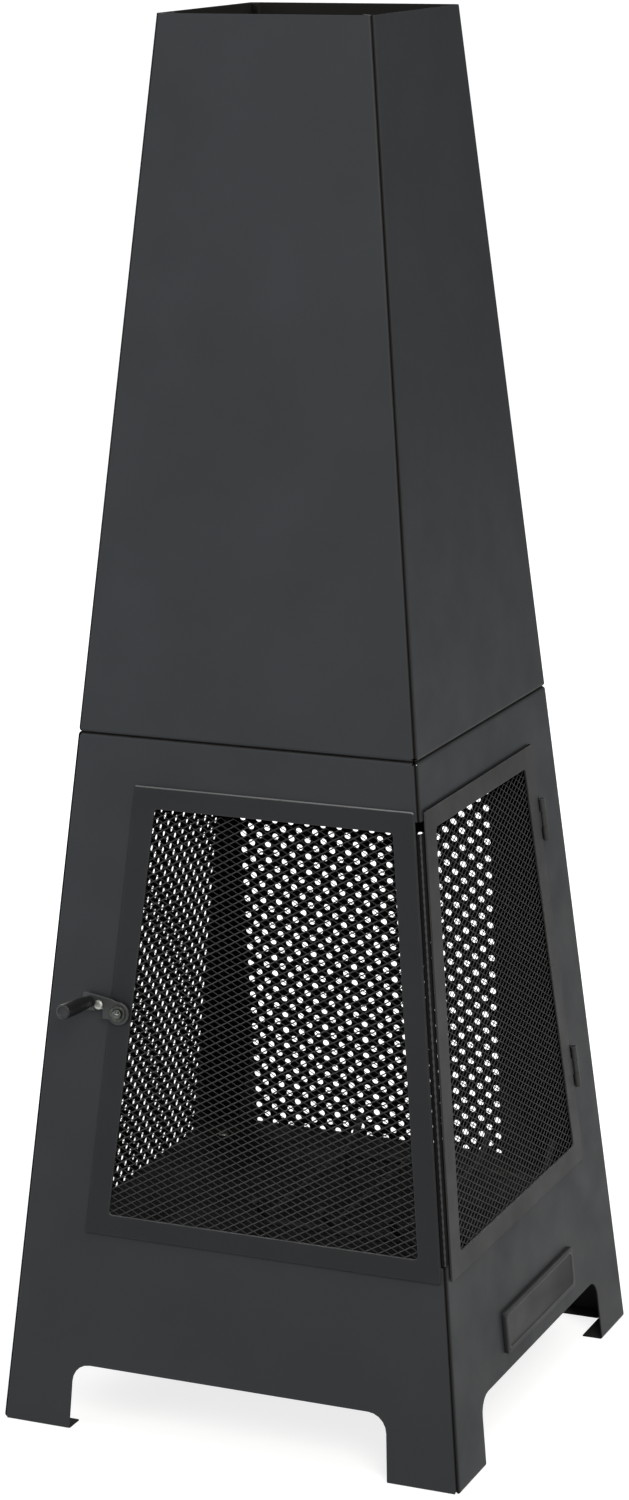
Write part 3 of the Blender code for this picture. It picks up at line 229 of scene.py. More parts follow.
# Log grate
ROD = 0.003
ROD_LENGTH_HALF = 0.112
ROD_STRAIGHT_HALF = 0.090
ROD_HEIGHT = 0.162
ROD_TIP = 0.184
ROD_BEND = 0.010
ROD_PLACES = (0.011, -0.0475, -0.106, -0.1645)
BEARER_PLACE = 0.087
BEARER_HEIGHT = 0.157
BEARER_FOOT = 0.1393
BEARER_BEND = 0.006

# Badge plate: edge, flat margin and thin bead, as inset and height, with the bead's levels in the list
BADGE_HALF = 0.080
BADGE_LOW = 0.070
BADGE_HIGH = 0.1055
BADGE_CORNER = 0.004
BADGE_BEAD_CORNER = 0.009
BADGE_EDGE = 0.002
BADGE_CORNER_STEPS = 6
BADGE_LEVELS = (
    (0, 0.0003), (0, 0.0027), (0.0002, 0.0031), (0.0006, 0.0033), (0.0030, 0.0033),
    (0.0033, 0.0037), (0.0037, 0.0039), (0.0041, 0.0037), (0.0045, 0.0032), (0.0050, 0.0030),
)
BADGE_BEAD_LEVELS = range(4, 8)

# Rounding of turned edges, and how finely round things are drawn
SOFT_EDGE = 0.0003
FINE_EDGE = 0.0002
GRIP_EDGE = 0.0006
SOFT_STEPS = 3
BEND_STEPS = 6
ROUND_SIDES = 40
FLOOR_SCREW_SIDES = 32
RIVET_SIDES = 28
PIN_SIDES = 24
BOLT_SIDES = 20
ROD_SIDES = 16
HEX_SIDES = 6
SMOOTH_ANGLE = math.radians(35)

# Telling points and faces apart: same place, same level, and how much a normal points out of its wall
WELD = 1e-6
SAME_POINT = 1e-7
ON_LEVEL = 0.0001
FLAT_OUT = 0.999
HOLE_WALL_OUT = 0.02
SKIN_OUT = 0.5

# The kind of triangulation that leaves inner outlines open
HOLES_LEFT_OPEN = 2

# Noise textures, as scale, detail and roughness
BLOTCHES = (5.0, 4.0, 0.55)
RUBBING = (60.0, 3.0, 0.6)
PAINT_SHEEN = (22.0, 5.0, 0.6)
SMOKE = (9.0, 5.0, 0.65)
TARNISH = (420.0, 4.0, 0.6)
ZINC_SHEEN = (900.0, 3.0)
ASH = (14.0, 6.0, 0.65)
ASH_SHEEN = (40.0, 4.0)

# Bumps, as texture, strength and distance
PEEL_BUMPS = (((1400.0, 2.0), 0.10, 0.0001), ((260.0, 2.0), 0.05, 0.0003))
ZINC_BUMPS = (((2600.0, 2.0), 0.12, 0.00005),)
ASH_BUMPS = (((700.0, 4.0), 0.18, 0.0002),)

# Paint and soot: shares of the colour in a blotch, edges lightened by wear and painted highlight, and how
# far roughness strays
BLOTCH_DARK = 0.92
BLOTCH_LIGHT = 1.10
BARE_GAIN = 2
EDGE_ROUNDING = 0.0005
BEVEL_SAMPLES = 4
PAINT_STRAY = (-0.05, 0.06)
SOOT_COLOURS = ((0.005, 0.005, 0.005), (0.014, 0.0135, 0.013))
SOOT_ROUGHNESS = 0.78
ASH_COLOURS = ((0.004, 0.004, 0.004), (0.022, 0.021, 0.020))
ASH_MOST = 0.75
ASH_ROUGHNESS = (0.62, 0.80)
ASH_GLOSS = 0.05
TARNISHED = 0.55
ZINC_STRAY = (-0.08, 0.12)

# Sockets of the mix node when it mixes colours
MIX_SHARE = 0
MIX_FIRST = 6
MIX_SECOND = 7
MIX_RESULT = 2

# Studio: floor, its glow from the piece outward, world, dark card and lamps
STAGE_RADIUS = 40
STAGE_SIDES = 64
STAGE_DROP = 0.0002
STAGE_GREY = 0.35
STAGE_ROUGHNESS = 0.9
GLOW_REACH = (0.25, 1.0)
GLOW = (0.80, 1.0)
AMBIENT = 0.2
CARD_PLACE = 3.2
CARD_ALONG = (-9.0, -0.2)
CARD_UP = (0.2, 8.0)
CARD_GREY = 0.01
LAMPS = {
    "key": {
        "place": (-2.2, -1.8, 2.4), "target": (0, 0, 0.5), "size": 1.6, "power": 86,
        "colour": (1.0, 0.955, 0.89),
    },
    "fill": {
        "place": (-2.6, 2.2, 0.7), "target": (0, 0, 0.35), "size": 2.0, "power": 39,
        "colour": (0.86, 0.94, 1.0),
    },
    "top": {"place": (-0.3, -0.5, 3.4), "target": (0, 0, 0.8), "size": 1.6, "power": 55},
    "back": {"place": (2.4, 2.2, 2.2), "target": (0, 0, 0.6), "size": 2.0, "power": 75},
}

# Camera, from the photograph's straight edges
CAMERA_PLACE = (-2.740312, -1.1930, 1.2654)
CAMERA_AZIMUTH = math.radians(66.495)
CAMERA_PITCH = math.radians(13.716)
CAMERA_ROLL = math.radians(-0.598)
CAMERA_LENS = 91.278


def half_width(height):
    """Half the casing's width at a height."""
    return BASE_HALF - SLOPE * height


def face_matrix(side):
    """A wall's own axes: X along it, Y up its slope and Z out of it, from its middle at the ground."""
    turn = Matrix.Rotation(SIDE_TURN_SHARES[side] * math.tau, 4, "Z")
    foot = Matrix.Translation((0, -BASE_HALF, 0))
    lean = Matrix.Rotation(QUARTER_TURN - TILT, 4, "X")
    return Matrix.Translation((SHIFT, 0, 0)) @ turn @ foot @ lean


def add_object(name, data):
    thing = bpy.data.objects.new(name, data)
    bpy.context.scene.collection.objects.link(thing)
    return thing


def add_mesh(name, bm, material):
    mesh = bpy.data.meshes.new(name)
    bm.to_mesh(mesh)
    bm.free()
    mesh.materials.append(material)
    return add_object(name, mesh)


def add_piece(name, bm, body, material, replaced=()):
    """Makes an object of a finished mesh, on its body and in place of the solids it replaces."""
    bm.normal_update()
    bmesh.ops.recalc_face_normals(bm, faces=bm.faces)
    piece = add_mesh(name, bm, material)
    mesh = piece.data
    stored_normals = mesh.attributes.get("custom_normal")
    if stored_normals:
        mesh.attributes.remove(stored_normals)
    mesh.shade_smooth()
    mesh.set_sharp_from_angle(angle=SMOOTH_ANGLE)
    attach(piece, body)
    if replaced:
        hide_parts(*replaced)
    return piece


class Shader:
    """A node material under construction."""

    def __init__(self, name):
        self.material = bpy.data.materials.new(name)
        self.material.use_nodes = True
        self.tree = self.material.node_tree
        self.surface = self.tree.nodes["Principled BSDF"]
        self.place = self.add("ShaderNodeTexCoord").outputs["Object"]

    def add(self, kind, **settings):
        node = self.tree.nodes.new(kind)
        for key, value in settings.items():
            setattr(node, key, value)
        return node

    def link(self, output, socket):
        self.tree.links.new(output, socket)

    def noise(self, scale, detail, roughness=0.5):
        node = self.add("ShaderNodeTexNoise")
        node.inputs["Scale"].default_value = scale
        node.inputs["Detail"].default_value = detail
        node.inputs["Roughness"].default_value = roughness
        self.link(self.place, node.inputs["Vector"])
        return node.outputs["Fac"]

    def ranged(self, value, source, target=(0.0, 1.0), **settings):
        """Maps a value from the source range onto the target range."""
        node = self.add("ShaderNodeMapRange", **settings)
        self.link(value, node.inputs["Value"])
        for key, number in zip(("From Min", "From Max", "To Min", "To Max"), (*source, *target)):
            node.inputs[key].default_value = number
        return node.outputs["Result"]

    def math(self, operation, *values):
        node = self.add("ShaderNodeMath", operation=operation)
        for socket, value in zip(node.inputs, values):
            if isinstance(value, (int, float)):
                socket.default_value = value
            else:
                self.link(value, socket)
        return node.outputs["Value"]

    def mixed(self, share, first, second):
        """Mixes two colours, each a tuple or an output."""
        node = self.add("ShaderNodeMix", data_type="RGBA")
        self.link(share, node.inputs[MIX_SHARE])
        for index, value in ((MIX_FIRST, first), (MIX_SECOND, second)):
            if isinstance(value, tuple):
                node.inputs[index].default_value = (*value, 1)
            else:
                self.link(value, node.inputs[index])
        return node.outputs[MIX_RESULT]

    def rounded_normal(self, radius):
        """The normal, turned gradually across sharp edges."""
        bevel = self.add("ShaderNodeBevel", samples=BEVEL_SAMPLES)
        bevel.inputs["Radius"].default_value = radius
        return bevel.outputs["Normal"]

    def finished(self, base, rough, bumps, rounding=EDGE_ROUNDING):
        """The material, once it has its colour, its roughness and its bumps on rounded edges."""
        self.link(base, self.surface.inputs["Base Color"])
        self.link(rough, self.surface.inputs["Roughness"])
        normal = self.rounded_normal(rounding)
        for texture, strength, distance in bumps:
            height = self.noise(*texture)
            node = self.add("ShaderNodeBump")
            node.inputs["Strength"].default_value = strength
            node.inputs["Distance"].default_value = distance
            self.link(height, node.inputs["Height"])
            self.link(normal, node.inputs["Normal"])
            normal = node.outputs["Normal"]
        self.link(normal, self.surface.inputs["Normal"])
        return self.material

    def edges(self, radius):
        """How far a sharp edge's rounded normal turns from the face's own, most where it turns upward,
        which paints a highlight on upward-facing edges.
        """
        rounded = self.rounded_normal(radius)
        geometry = self.add("ShaderNodeNewGeometry")
        dot = self.add("ShaderNodeVectorMath", operation="DOT_PRODUCT")
        self.link(rounded, dot.inputs[0])
        self.link(geometry.outputs["Normal"], dot.inputs[1])
        split = self.add("ShaderNodeSeparateXYZ")
        self.link(rounded, split.inputs[0])
        # Edges that face up are lightened most, as painted highlight from light above.
        upward = self.ranged(split.outputs["Z"], (0.20, 0.60), (0.20, 1.0))
        return self.math("MULTIPLY", self.ranged(dot.outputs["Value"], (0.995, 0.80)), upward)

    def inside(self):
        """1 on what lies inside the casing's skin and 0 on the skin itself."""
        split = self.add("ShaderNodeSeparateXYZ")
        self.link(self.place, split.inputs[0])
        across = self.math("ABSOLUTE", self.math("SUBTRACT", split.outputs["X"], SHIFT))
        along = self.math("ABSOLUTE", split.outputs["Y"])
        reach = self.math("MAXIMUM", across, along)
        taper = self.math("MULTIPLY_ADD", split.outputs["Z"], SLOPE, reach)
        return self.math("LESS_THAN", taper, BASE_HALF - SHEET / 2)


def scaled(colour, factor):
    return tuple(value * factor for value in colour)


def painted(name, colour, roughness, sooted=False, worn=0.35, gloss=0.15, rounding=EDGE_ROUNDING,
            bare=0.07, rub=None):
    """Satin powder coat: fine peel, soft blotches, edges lightened partly by wear and partly as painted
    highlight, most where they face up, and, inside the casing, soot.

    Rounding and rub are how far edges are rounded and lightened, worn is how much they are lightened, by
    worn paint and painted highlight together, and bare is how much lighter the metal shows.
    """
    shader = Shader(name)
    blotch = shader.ranged(shader.noise(*BLOTCHES), (0.35, 0.65))
    base = shader.mixed(blotch, scaled(colour, BLOTCH_DARK), scaled(colour, BLOTCH_LIGHT))
    wear_and_highlight_share = shader.ranged(shader.noise(*RUBBING), (0.40, 0.70), (worn / 2, worn))
    # Edges get lighter paint, partly as wear and partly as painted highlight.
    worn_and_highlit_edges = shader.math("MULTIPLY", shader.edges(rub or rounding), wear_and_highlight_share)
    base = shader.mixed(worn_and_highlit_edges, base, tuple(value * BARE_GAIN + bare for value in colour))
    roughnesses = tuple(roughness + stray for stray in PAINT_STRAY)
    rough = shader.ranged(shader.noise(*PAINT_SHEEN), (0.3, 0.7), roughnesses)
    if sooted:
        soot = shader.inside()
        base = shader.mixed(soot, base, shader.mixed(shader.noise(*SMOKE), *SOOT_COLOURS))
        rough = shader.math("MAXIMUM", rough, shader.math("MULTIPLY", soot, SOOT_ROUGHNESS))
    shader.surface.inputs["Specular IOR Level"].default_value = gloss
    return shader.finished(base, rough, PEEL_BUMPS, rounding)


def metal(name, colour, roughness):
    """Zinc-plated steel, dulled in patches and brushed a little."""
    shader = Shader(name)
    dull = shader.ranged(shader.noise(*TARNISH), (0.40, 0.65))
    base = shader.mixed(dull, colour, scaled(colour, TARNISHED))
    roughnesses = tuple(roughness + stray for stray in ZINC_STRAY)
    rough = shader.ranged(shader.noise(*ZINC_SHEEN), (0.3, 0.7), roughnesses)
    shader.surface.inputs["Metallic"].default_value = 1.0
    return shader.finished(base, rough, ZINC_BUMPS)


def floor_steel(name):
    """Dark steel that fires have stood on: grey ash film and soot."""
    shader = Shader(name)
    ash = shader.ranged(shader.noise(*ASH), (0.42, 0.72), (0.0, ASH_MOST))
    base = shader.mixed(ash, *ASH_COLOURS)
    rough = shader.ranged(shader.noise(*ASH_SHEEN), (0.3, 0.7), ASH_ROUGHNESS)
    shader.surface.inputs["Specular IOR Level"].default_value = ASH_GLOSS
    return shader.finished(base, rough, ASH_BUMPS)


# Frame edges are lightened strongly, most along the top edge, partly as wear and partly as painted
# highlight.
FRAME_WEAR_AND_HIGHLIGHT = {"worn": 1.0, "rounding": 0.0006, "bare": 0.2, "rub": 0.0014}
PAINT = painted("casing_paint", (0.0236, 0.0258, 0.0286), 0.55, sooted=True, worn=0.45)
DOOR_PAINT = painted("door_paint", (0.0120, 0.0126, 0.0138), 0.50, **FRAME_WEAR_AND_HIGHLIGHT)
# The front frame is a lighter copy of the door paint: painted light.
FRONT_FRAME_LIT_PAINT = painted("front_frame_lit_paint", (0.0172, 0.0173, 0.0175), 0.50, **FRAME_WEAR_AND_HIGHLIGHT)
# Light paint for the left frame's top edge: painted highlight.
TOP_EDGE_HIGHLIGHT_PAINT = painted("top_edge_highlight_paint", (0.085, 0.086, 0.088), 0.45, worn=0.6, gloss=0.4)
# The hinge leaves are a lighter copy of the casing paint: painted light.
HINGE_LIT_PAINT = painted("hinge_lit_paint", (0.038, 0.0385, 0.039), 0.50, worn=0.6, rounding=0.0004)
# The lever's edges are lightened strongly, partly as wear and partly as painted highlight.
LEVER_PAINT = painted("lever_paint", (0.0230, 0.0240, 0.0250), 0.45, worn=1.0, gloss=0.3, rounding=0.0009)
# The mesh's cut faces take the lighter paint and its front and back the darker one: painted highlight and
# painted shade.
MESH_PAINT = painted("mesh_paint", (0.050, 0.0505, 0.051), 0.60, gloss=0.10, rounding=0.0002)
STRAND_SHADE_PAINT = painted("strand_shade_paint", (0.021, 0.0213, 0.0216), 0.60, gloss=0.10, rounding=0.0002)
# Near black for the door mesh's fold strip and the front frame's top edge: painted shade and painted
# shadow.
FOLD_SHADE_PAINT = painted("fold_shade_paint", (0.0045, 0.0045, 0.0048), 0.70, worn=0.1, gloss=0.05)
# Lighter paint for the fold strip's ridge: painted highlight.
RIDGE_HIGHLIGHT_PAINT = painted("ridge_highlight_paint", (0.030, 0.031, 0.032), 0.45, gloss=0.2)
BADGE_PAINT = painted("badge_paint", (0.0145, 0.0150, 0.0158), 0.50, worn=1.0, rounding=0.0008)
# Lighter paint for the badge's bead: painted highlight.
BEAD_HIGHLIGHT_PAINT = painted("bead_highlight_paint", (0.050, 0.051, 0.053), 0.45, worn=1.0, gloss=0.3)
INNER_PAINT = painted("inner_paint", (0.014, 0.014, 0.014), 0.70)
SOOT = painted("soot", (0.0045, 0.0043, 0.0040), 0.90, worn=0.1, gloss=0.03)
FLOOR_PAINT = floor_steel("floor_paint")
GRIP_PLASTIC = painted("grip_plastic", (0.006, 0.006, 0.0065), 0.42, worn=0.6, gloss=0.3)
ZINC = metal("zinc", (0.36, 0.37, 0.34), 0.36)
DULL_ZINC = metal("dull_zinc", (0.055, 0.058, 0.050), 0.32)
SCREW_ZINC = metal("screw_zinc", (0.075, 0.077, 0.072), 0.28)


def merged_copy(node):
    """A node's mesh with its split points joined again."""
    bm = bmesh.new()
    bm.from_mesh(frame["nodes"][node].data)
    bmesh.ops.remove_doubles(bm, verts=bm.verts, dist=WELD)
    return bm


def moved(bm, matrix):
    bmesh.ops.transform(bm, matrix=matrix, verts=bm.verts)
    return bm


def open_edges(bm):
    return [edge for edge in bm.edges if len(edge.link_faces) == 1]


def outline_of(border):
    """The vertices of one closed outline in order, from its edges."""
    start = border[0]
    first, vert = start.verts
    ordered, edge = [first], start
    waiting = set(border) - {start}
    while vert is not first:
        ordered.append(vert)
        edge = next(other for other in vert.link_edges if other in waiting)
        waiting.discard(edge)
        vert = edge.other_vert(vert)
    return ordered


def pierced(bm, corners, holes, flattened, raised):
    """Fills an outline round its holes. Returns the faces, and the holes' vertices by their number.

    Flattened gives a place in the outline's plane as X and Y, and raised turns X and Y into a place.
    """
    points = [flattened(vert.co) for vert in corners]
    loops = [list(range(len(corners)))]
    for hole in holes:
        loops.append(list(range(len(points), len(points) + len(hole))))
        points += hole
    flat, _, faces, origins, _, _ = delaunay_2d_cdt(points, [], loops, HOLES_LEFT_OPEN, SAME_POINT)
    verts, brims = [], {}
    for point, origin in zip(flat, origins):
        known = [number for number in origin if number < len(corners)]
        vert = corners[known[0]] if known else bm.verts.new(raised(point))
        verts.append(vert)
        brims.update({number - len(corners): vert for number in origin if number >= len(corners)})
    return [bm.faces.new([verts[number] for number in face]) for face in faces], brims


def join_rings(bm, rings):
    """Faces between rings of vertices and over both ends, ring by ring and the ends last."""
    faces = []
    for lower, upper in zip(rings, rings[1:]):
        for index in range(len(lower)):
            after = (index + 1) % len(lower)
            faces.append(bm.faces.new((lower[index], lower[after], upper[after], upper[index])))
    faces.append(bm.faces.new(rings[0][::-1]))
    faces.append(bm.faces.new(rings[-1]))
    return faces


def softened(points, radius, steps=SOFT_STEPS):
    """A line whose corners are rounded by short curves."""
    points = [Vector(point) for point in points]
    result = [points[0]]
    for before, corner, after in zip(points, points[1:], points[2:]):
        reach = min(radius, (before - corner).length / 2, (after - corner).length / 2)
        start = corner + (before - corner).normalized() * reach
        end = corner + (after - corner).normalized() * reach
        for step in range(steps + 1):
            share = step / steps
            blend = start * (1 - share) ** 2 + corner * 2 * share * (1 - share) + end * share ** 2
            result.append(blend)
    result.append(points[-1])
    return result


def turned(profile, sides=ROUND_SIDES, bm=None, ring=False):
    """A profile of radius and height turned about Z. A zero radius is a point on the axis."""
    bm = bm or bmesh.new()
    spokes = [math.tau * side / sides for side in range(sides)]
    rings = []
    for radius, height in profile:
        if radius:
            places = [(math.cos(angle) * radius, math.sin(angle) * radius, height) for angle in spokes]
            rings.append([bm.verts.new(place) for place in places])
        else:
            rings.append([bm.verts.new((0, 0, height))])
    made = []
    for lower, upper in zip(rings, rings[1:] + rings[:1] if ring else rings[1:]):
        for side in range(sides):
            after = (side + 1) % sides
            below = lower if len(lower) == 1 else (lower[side], lower[after])
            above = upper if len(upper) == 1 else (upper[after], upper[side])
            made.append(bm.faces.new((*below, *above)))
    bmesh.ops.recalc_face_normals(bm, faces=made)
    return bm


def hole_places(hand):
    """Centres of the round holes on a wall, as place along it and distance up its slope."""
    places = []
    for row in range(HOLE_ROWS):
        rise = HOLE_FIRST_ROW + row * HOLE_STEP
        for column in range(row % 2, HOLE_COLUMNS, 2):
            across = HOLE_FIRST_COLUMN + column * HOLE_STEP
            if across <= half_width(rise * math.cos(TILT)) - HOLE_CORNER_ROOM:
                places.append(Vector((hand * across, rise)))
    return places


def strip_sheet(bm, out):
    """Takes the flat sides of a wall's sheet away, with the walls of its large holes."""
    back, up = out.inverted(), out.col[2].to_3d()
    doomed = []
    for face in bm.faces:
        centre = back @ face.calc_center_median()
        facing = abs(face.normal.dot(up))
        flat = facing > FLAT_OUT and -SHEET * 1.5 < centre.z < SHEET / 2
        room = half_width(centre.y) - FIELD_CORNER_ROOM
        in_field = FIELD_LOW < centre.y < FIELD_HIGH and abs(centre.x) < room
        if flat or (facing < HOLE_WALL_OUT and in_field and -SHEET * 1.2 < centre.z < 0):
            doomed.append(face)
    bmesh.ops.delete(bm, geom=doomed, context="FACES")


def pierce_side(bm, out, level, outward, holes):
    """Closes the side of a wall's sheet at one level round its holes, and returns their vertices."""
    back = out.inverted()
    border = [
        edge for edge in open_edges(bm)
        if all(abs((back @ vert.co).z - level) < ON_LEVEL for vert in edge.verts)
    ]
    faces, brims = pierced(
        bm, outline_of(border), holes,
        lambda place: (back @ place).xy, lambda point: out @ Vector((*point, level)),
    )
    for face in faces:
        face.normal_update()
        if face.normal.dot(outward) < 0:
            face.normal_flip()
    return brims


def perforated(side, hand):
    """A wall of the node's own shape, with round holes at their true pitch in place of the large ones.

    The hand says on which end is the corner that the two such walls share.
    """
    node = side + "_panel"
    bm = merged_copy(node)
    out = face_matrix(side)
    up = out.col[2].to_3d()
    strip_sheet(bm, out)
    spokes = [math.tau * (index + 0.5) / HOLE_SIDES for index in range(HOLE_SIDES)]
    circle = [Vector((math.cos(angle), math.sin(angle))) * HOLE_RADIUS for angle in spokes]
    holes = [[place + point for point in circle] for place in hole_places(hand)]
    outer = pierce_side(bm, out, 0.0, up, holes)
    inner = pierce_side(bm, out, -SHEET, -up, holes)
    for start in range(0, len(outer), HOLE_SIDES):
        for index in range(HOLE_SIDES):
            first, second = start + index, start + (index + 1) % HOLE_SIDES
            bm.faces.new((inner[first], inner[second], outer[second], outer[first]))
    bmesh.ops.recalc_face_normals(bm, faces=bm.faces)
    for face in bm.faces:
        hidden = face.normal.dot(up) < SKIN_OUT and FLOOR_TOP < face.calc_center_median().z < SEAM_HEIGHT
        face.material_index = 1 if hidden else 0
    wall = add_piece(side + "_perforated_wall", bm, "body", PAINT, (node,))
    wall.data.materials.append(SOOT)


def frame_corners(side, hand):
    """A door frame's outer corners on its wall, from the low one beside the fold to the high one."""
    near, far = FRAME_NEAR_INSETS[side], FRAME_FAR_INSET
    corners = []
    for height, ends in ((FRAME_LOW, (near, far)), (FRAME_HIGH, (far, near))):
        for inset in ends:
            across = (half_width(height) - inset) * (-hand if inset == near else hand)
            corners.append(Vector((across, height / math.cos(TILT))))
    return corners


def sharpen_corner(bm, out, corner, before, after, radius):
    """Draws in the arc of a frame's outer corner to a smaller radius, and rolls its front edge.

    Before and after are the directions of the two sides that meet at the corner.
    """
    back = out.inverted()
    inward = (before + after).normalized() / math.sin(before.angle(after) / 2)
    centre, sharper = corner + inward * FRAME_CORNER, corner + inward * radius
    for vert in bm.verts:
        place = back @ vert.co
        spoke = place.xy - centre
        if max(spoke.dot(before), spoke.dot(after)) >= ARC_END_ROOM:
            continue
        if ARC_INSIDE < spoke.length < ARC_OUTSIDE:
            reach, level = spoke.length - FRAME_CORNER + radius, place.z
            if level > FRAME_FRONT - ON_LEVEL:
                reach = radius - FRAME_ROLL
            elif level > FRAME_FRONT - FRAME_EDGE:
                level = FRAME_FRONT - FRAME_ROLL
            vert.co = out @ Vector((*(sharper + spoke.normalized() * reach), level))


def rolled_frame(side, hand, material, top_material):
    """A door frame of the node's own shape, with sharper corners and a rolled outer edge. Its top edge
    takes the top material: painted highlight on the left frame, painted shadow on the front frame.
    """
    node = "door_frame_" + side
    bm = merged_copy(node)
    out = face_matrix(side)
    back = out.inverted()
    corners = frame_corners(side, hand)
    radii = (NEAR_CORNER, FAR_CORNER, FAR_CORNER, NEAR_CORNER)
    for index, (corner, radius) in enumerate(zip(corners, radii)):
        before = (corners[index - 1] - corner).normalized()
        after = (corners[(index + 1) % len(corners)] - corner).normalized()
        sharpen_corner(bm, out, corner, before, after, radius)
    bmesh.ops.recalc_face_normals(bm, faces=bm.faces)
    turn = back.to_3x3()
    for face in bm.faces:
        facing = turn @ face.normal
        at_top = (back @ face.calc_center_median()).y > corners[-1].y - FRAME_CORNER
        edge = facing.y > TOP_EDGE_UP and TOP_EDGE_LEAST_OUT[side] <= abs(facing.z) < TOP_EDGE_MOST_OUT
        if at_top and edge:
            face.material_index = 1
    piece = add_piece(side + "_rolled_frame", bm, "door", material, (node,))
    piece.data.materials.append(top_material)


def folded(along, height, depth):
    """A point of the door mesh: distance from the fold, negative on the left side, height and depth."""
    corner = half_width(height) + MESH_FACE / math.cos(TILT) - depth / math.cos(TILT)
    pull = max(MESH_FOLD - abs(along), 0) ** 2 / (4 * MESH_FOLD)
    return Vector((SHIFT - corner + max(along, 0) + pull, -corner + max(-along, 0) + pull, height))


def mesh_point(along, height, side):
    """A point on the front, side 0, or the back, side 1, of the mesh, which its twist sets apart."""
    shear = MESH_TWIST * (1 if side else -1) / 2
    return folded(along, height + shear, side * MESH_SHEET)


def expanded_metal():
    """A sheet of expanded metal folded round the near corner. Material 1 is its front and back, which
    take the darker paint as painted shade.
    """
    bm = bmesh.new()
    knots = {}
    long_half, short_half = MESH_LONG_WAY / 2, MESH_SHORT_WAY / 2 * math.cos(TILT)
    tip = long_half - MESH_STRAND * math.hypot(long_half, short_half) / (2 * short_half)
    blunt, flat = short_half - MESH_BOND / 2, MESH_BOND / 2
    opening = ((-tip, 0), (-flat, blunt), (flat, blunt), (tip, 0), (flat, -blunt), (-flat, -blunt))
    neighbours = ((-1, 0), (0, 1), (0, 1), (1, 0), (0, -1), (0, -1))

    def knot(column, row, side):
        key = (column, row, side)
        if key not in knots:
            place = mesh_point(column * long_half, MESH_LOW + row * short_half, side)
            knots[key] = bm.verts.new(place)
        return knots[key]

    rows = int((MESH_HIGH - MESH_LOW) / short_half)
    columns = int(2 * BASE_HALF / long_half)
    for row in range(1, rows):
        height = MESH_LOW + row * short_half
        room = 2 * half_width(height) - MESH_FAR_INSET
        for column in range(-columns, columns + 1):
            if (row + column) % 2 or (abs(column) + 1) * long_half > room:
                continue
            sides = []
            for side in (0, 1):
                outer = [knot(column + a, row + b, side) for a, b in neighbours]
                inner = [
                    bm.verts.new(mesh_point(column * long_half + across, height + up, side))
                    for across, up in opening
                ]
                sides.append(inner)
                for index in range(len(opening)):
                    after = (index + 1) % len(opening)
                    face = [outer[index], inner[index], inner[after]]
                    if outer[after] != outer[index]:
                        face.append(outer[after])
                    bm.faces.new(face if side else face[::-1]).material_index = 1
            front, rear = sides
            for index in range(len(opening)):
                after = (index + 1) % len(opening)
                bm.faces.new((front[index], front[after], rear[after], rear[index]))
    close_rims(bm, knots)
    return bm


def close_rims(bm, knots):
    """Joins the front and the back of the expanded metal along its outer edges."""
    keys_of = {vert: key for key, vert in knots.items()}
    for edge in open_edges(bm):
        keys = [keys_of.get(vert) for vert in edge.verts]
        if None in keys or keys[0][2] or keys[1][2]:
            continue
        others = [knots.get((key[0], key[1], 1)) for key in keys]
        if None not in others:
            bm.faces.new((edge.verts[0], edge.verts[1], others[1], others[0]))


def add_fold_strip(name, reach, rise, material):
    """Uncut sheet along the fold, a little wavy at both edges."""
    step = MESH_SHORT_WAY / FOLD_WAVE_STEPS
    bm = bmesh.new()
    rings = []
    for index in range(int((MESH_HIGH - MESH_LOW) / step) + 1):
        height = MESH_LOW + index * step
        wave = FOLD_WAVE * math.cos(math.tau * index / FOLD_WAVE_STEPS)
        left, right = reach[0] - wave, reach[1] + wave
        places = [left + (right - left) * part / FOLD_PARTS for part in range(FOLD_PARTS + 1)]
        outer = [folded(place, height, -rise) for place in places]
        inner = [folded(place, height, MESH_SHEET) for place in reversed(places)]
        rings.append([bm.verts.new(point) for point in outer + inner])
    join_rings(bm, rings)
    add_piece(name, bm, "door", material)


def add_expanded_mesh():
    """The door's mesh, whose cut faces are painted lighter than its front and back as painted highlight,
    and its uncut strip, painted near black as painted shade, with a ridge painted lighter as painted
    highlight.
    """
    bm = expanded_metal()
    mesh = add_piece("expanded_mesh", bm, "door", MESH_PAINT, ("door_mesh",))
    mesh.data.materials.append(STRAND_SHADE_PAINT)
    add_fold_strip("mesh_fold", FOLD_BAND, FOLD_BAND_RISE, FOLD_SHADE_PAINT)
    add_fold_strip("mesh_fold_ridge", FOLD_RIDGE, FOLD_RIDGE_RISE, RIDGE_HIGHLIGHT_PAINT)


def latch_matrix():
    """The latch's axes, on the left wall with Z out of it through the latch screw."""
    along = -half_width(LATCH_HEIGHT) + LATCH_INSET
    return face_matrix("left") @ Matrix.Translation((along, LATCH_HEIGHT / math.cos(TILT), 0))


def hinge_matrix(height):
    """A hinge's axes, on the front wall with Y along its pin."""
    along = half_width(height) - HINGE_INSET
    place = Matrix.Translation((along, height / math.cos(TILT), HINGE_STANDOFF))
    lean = math.atan(SLOPE * math.cos(TILT))
    return face_matrix("front") @ place @ Matrix.Rotation(lean, 4, "Z")


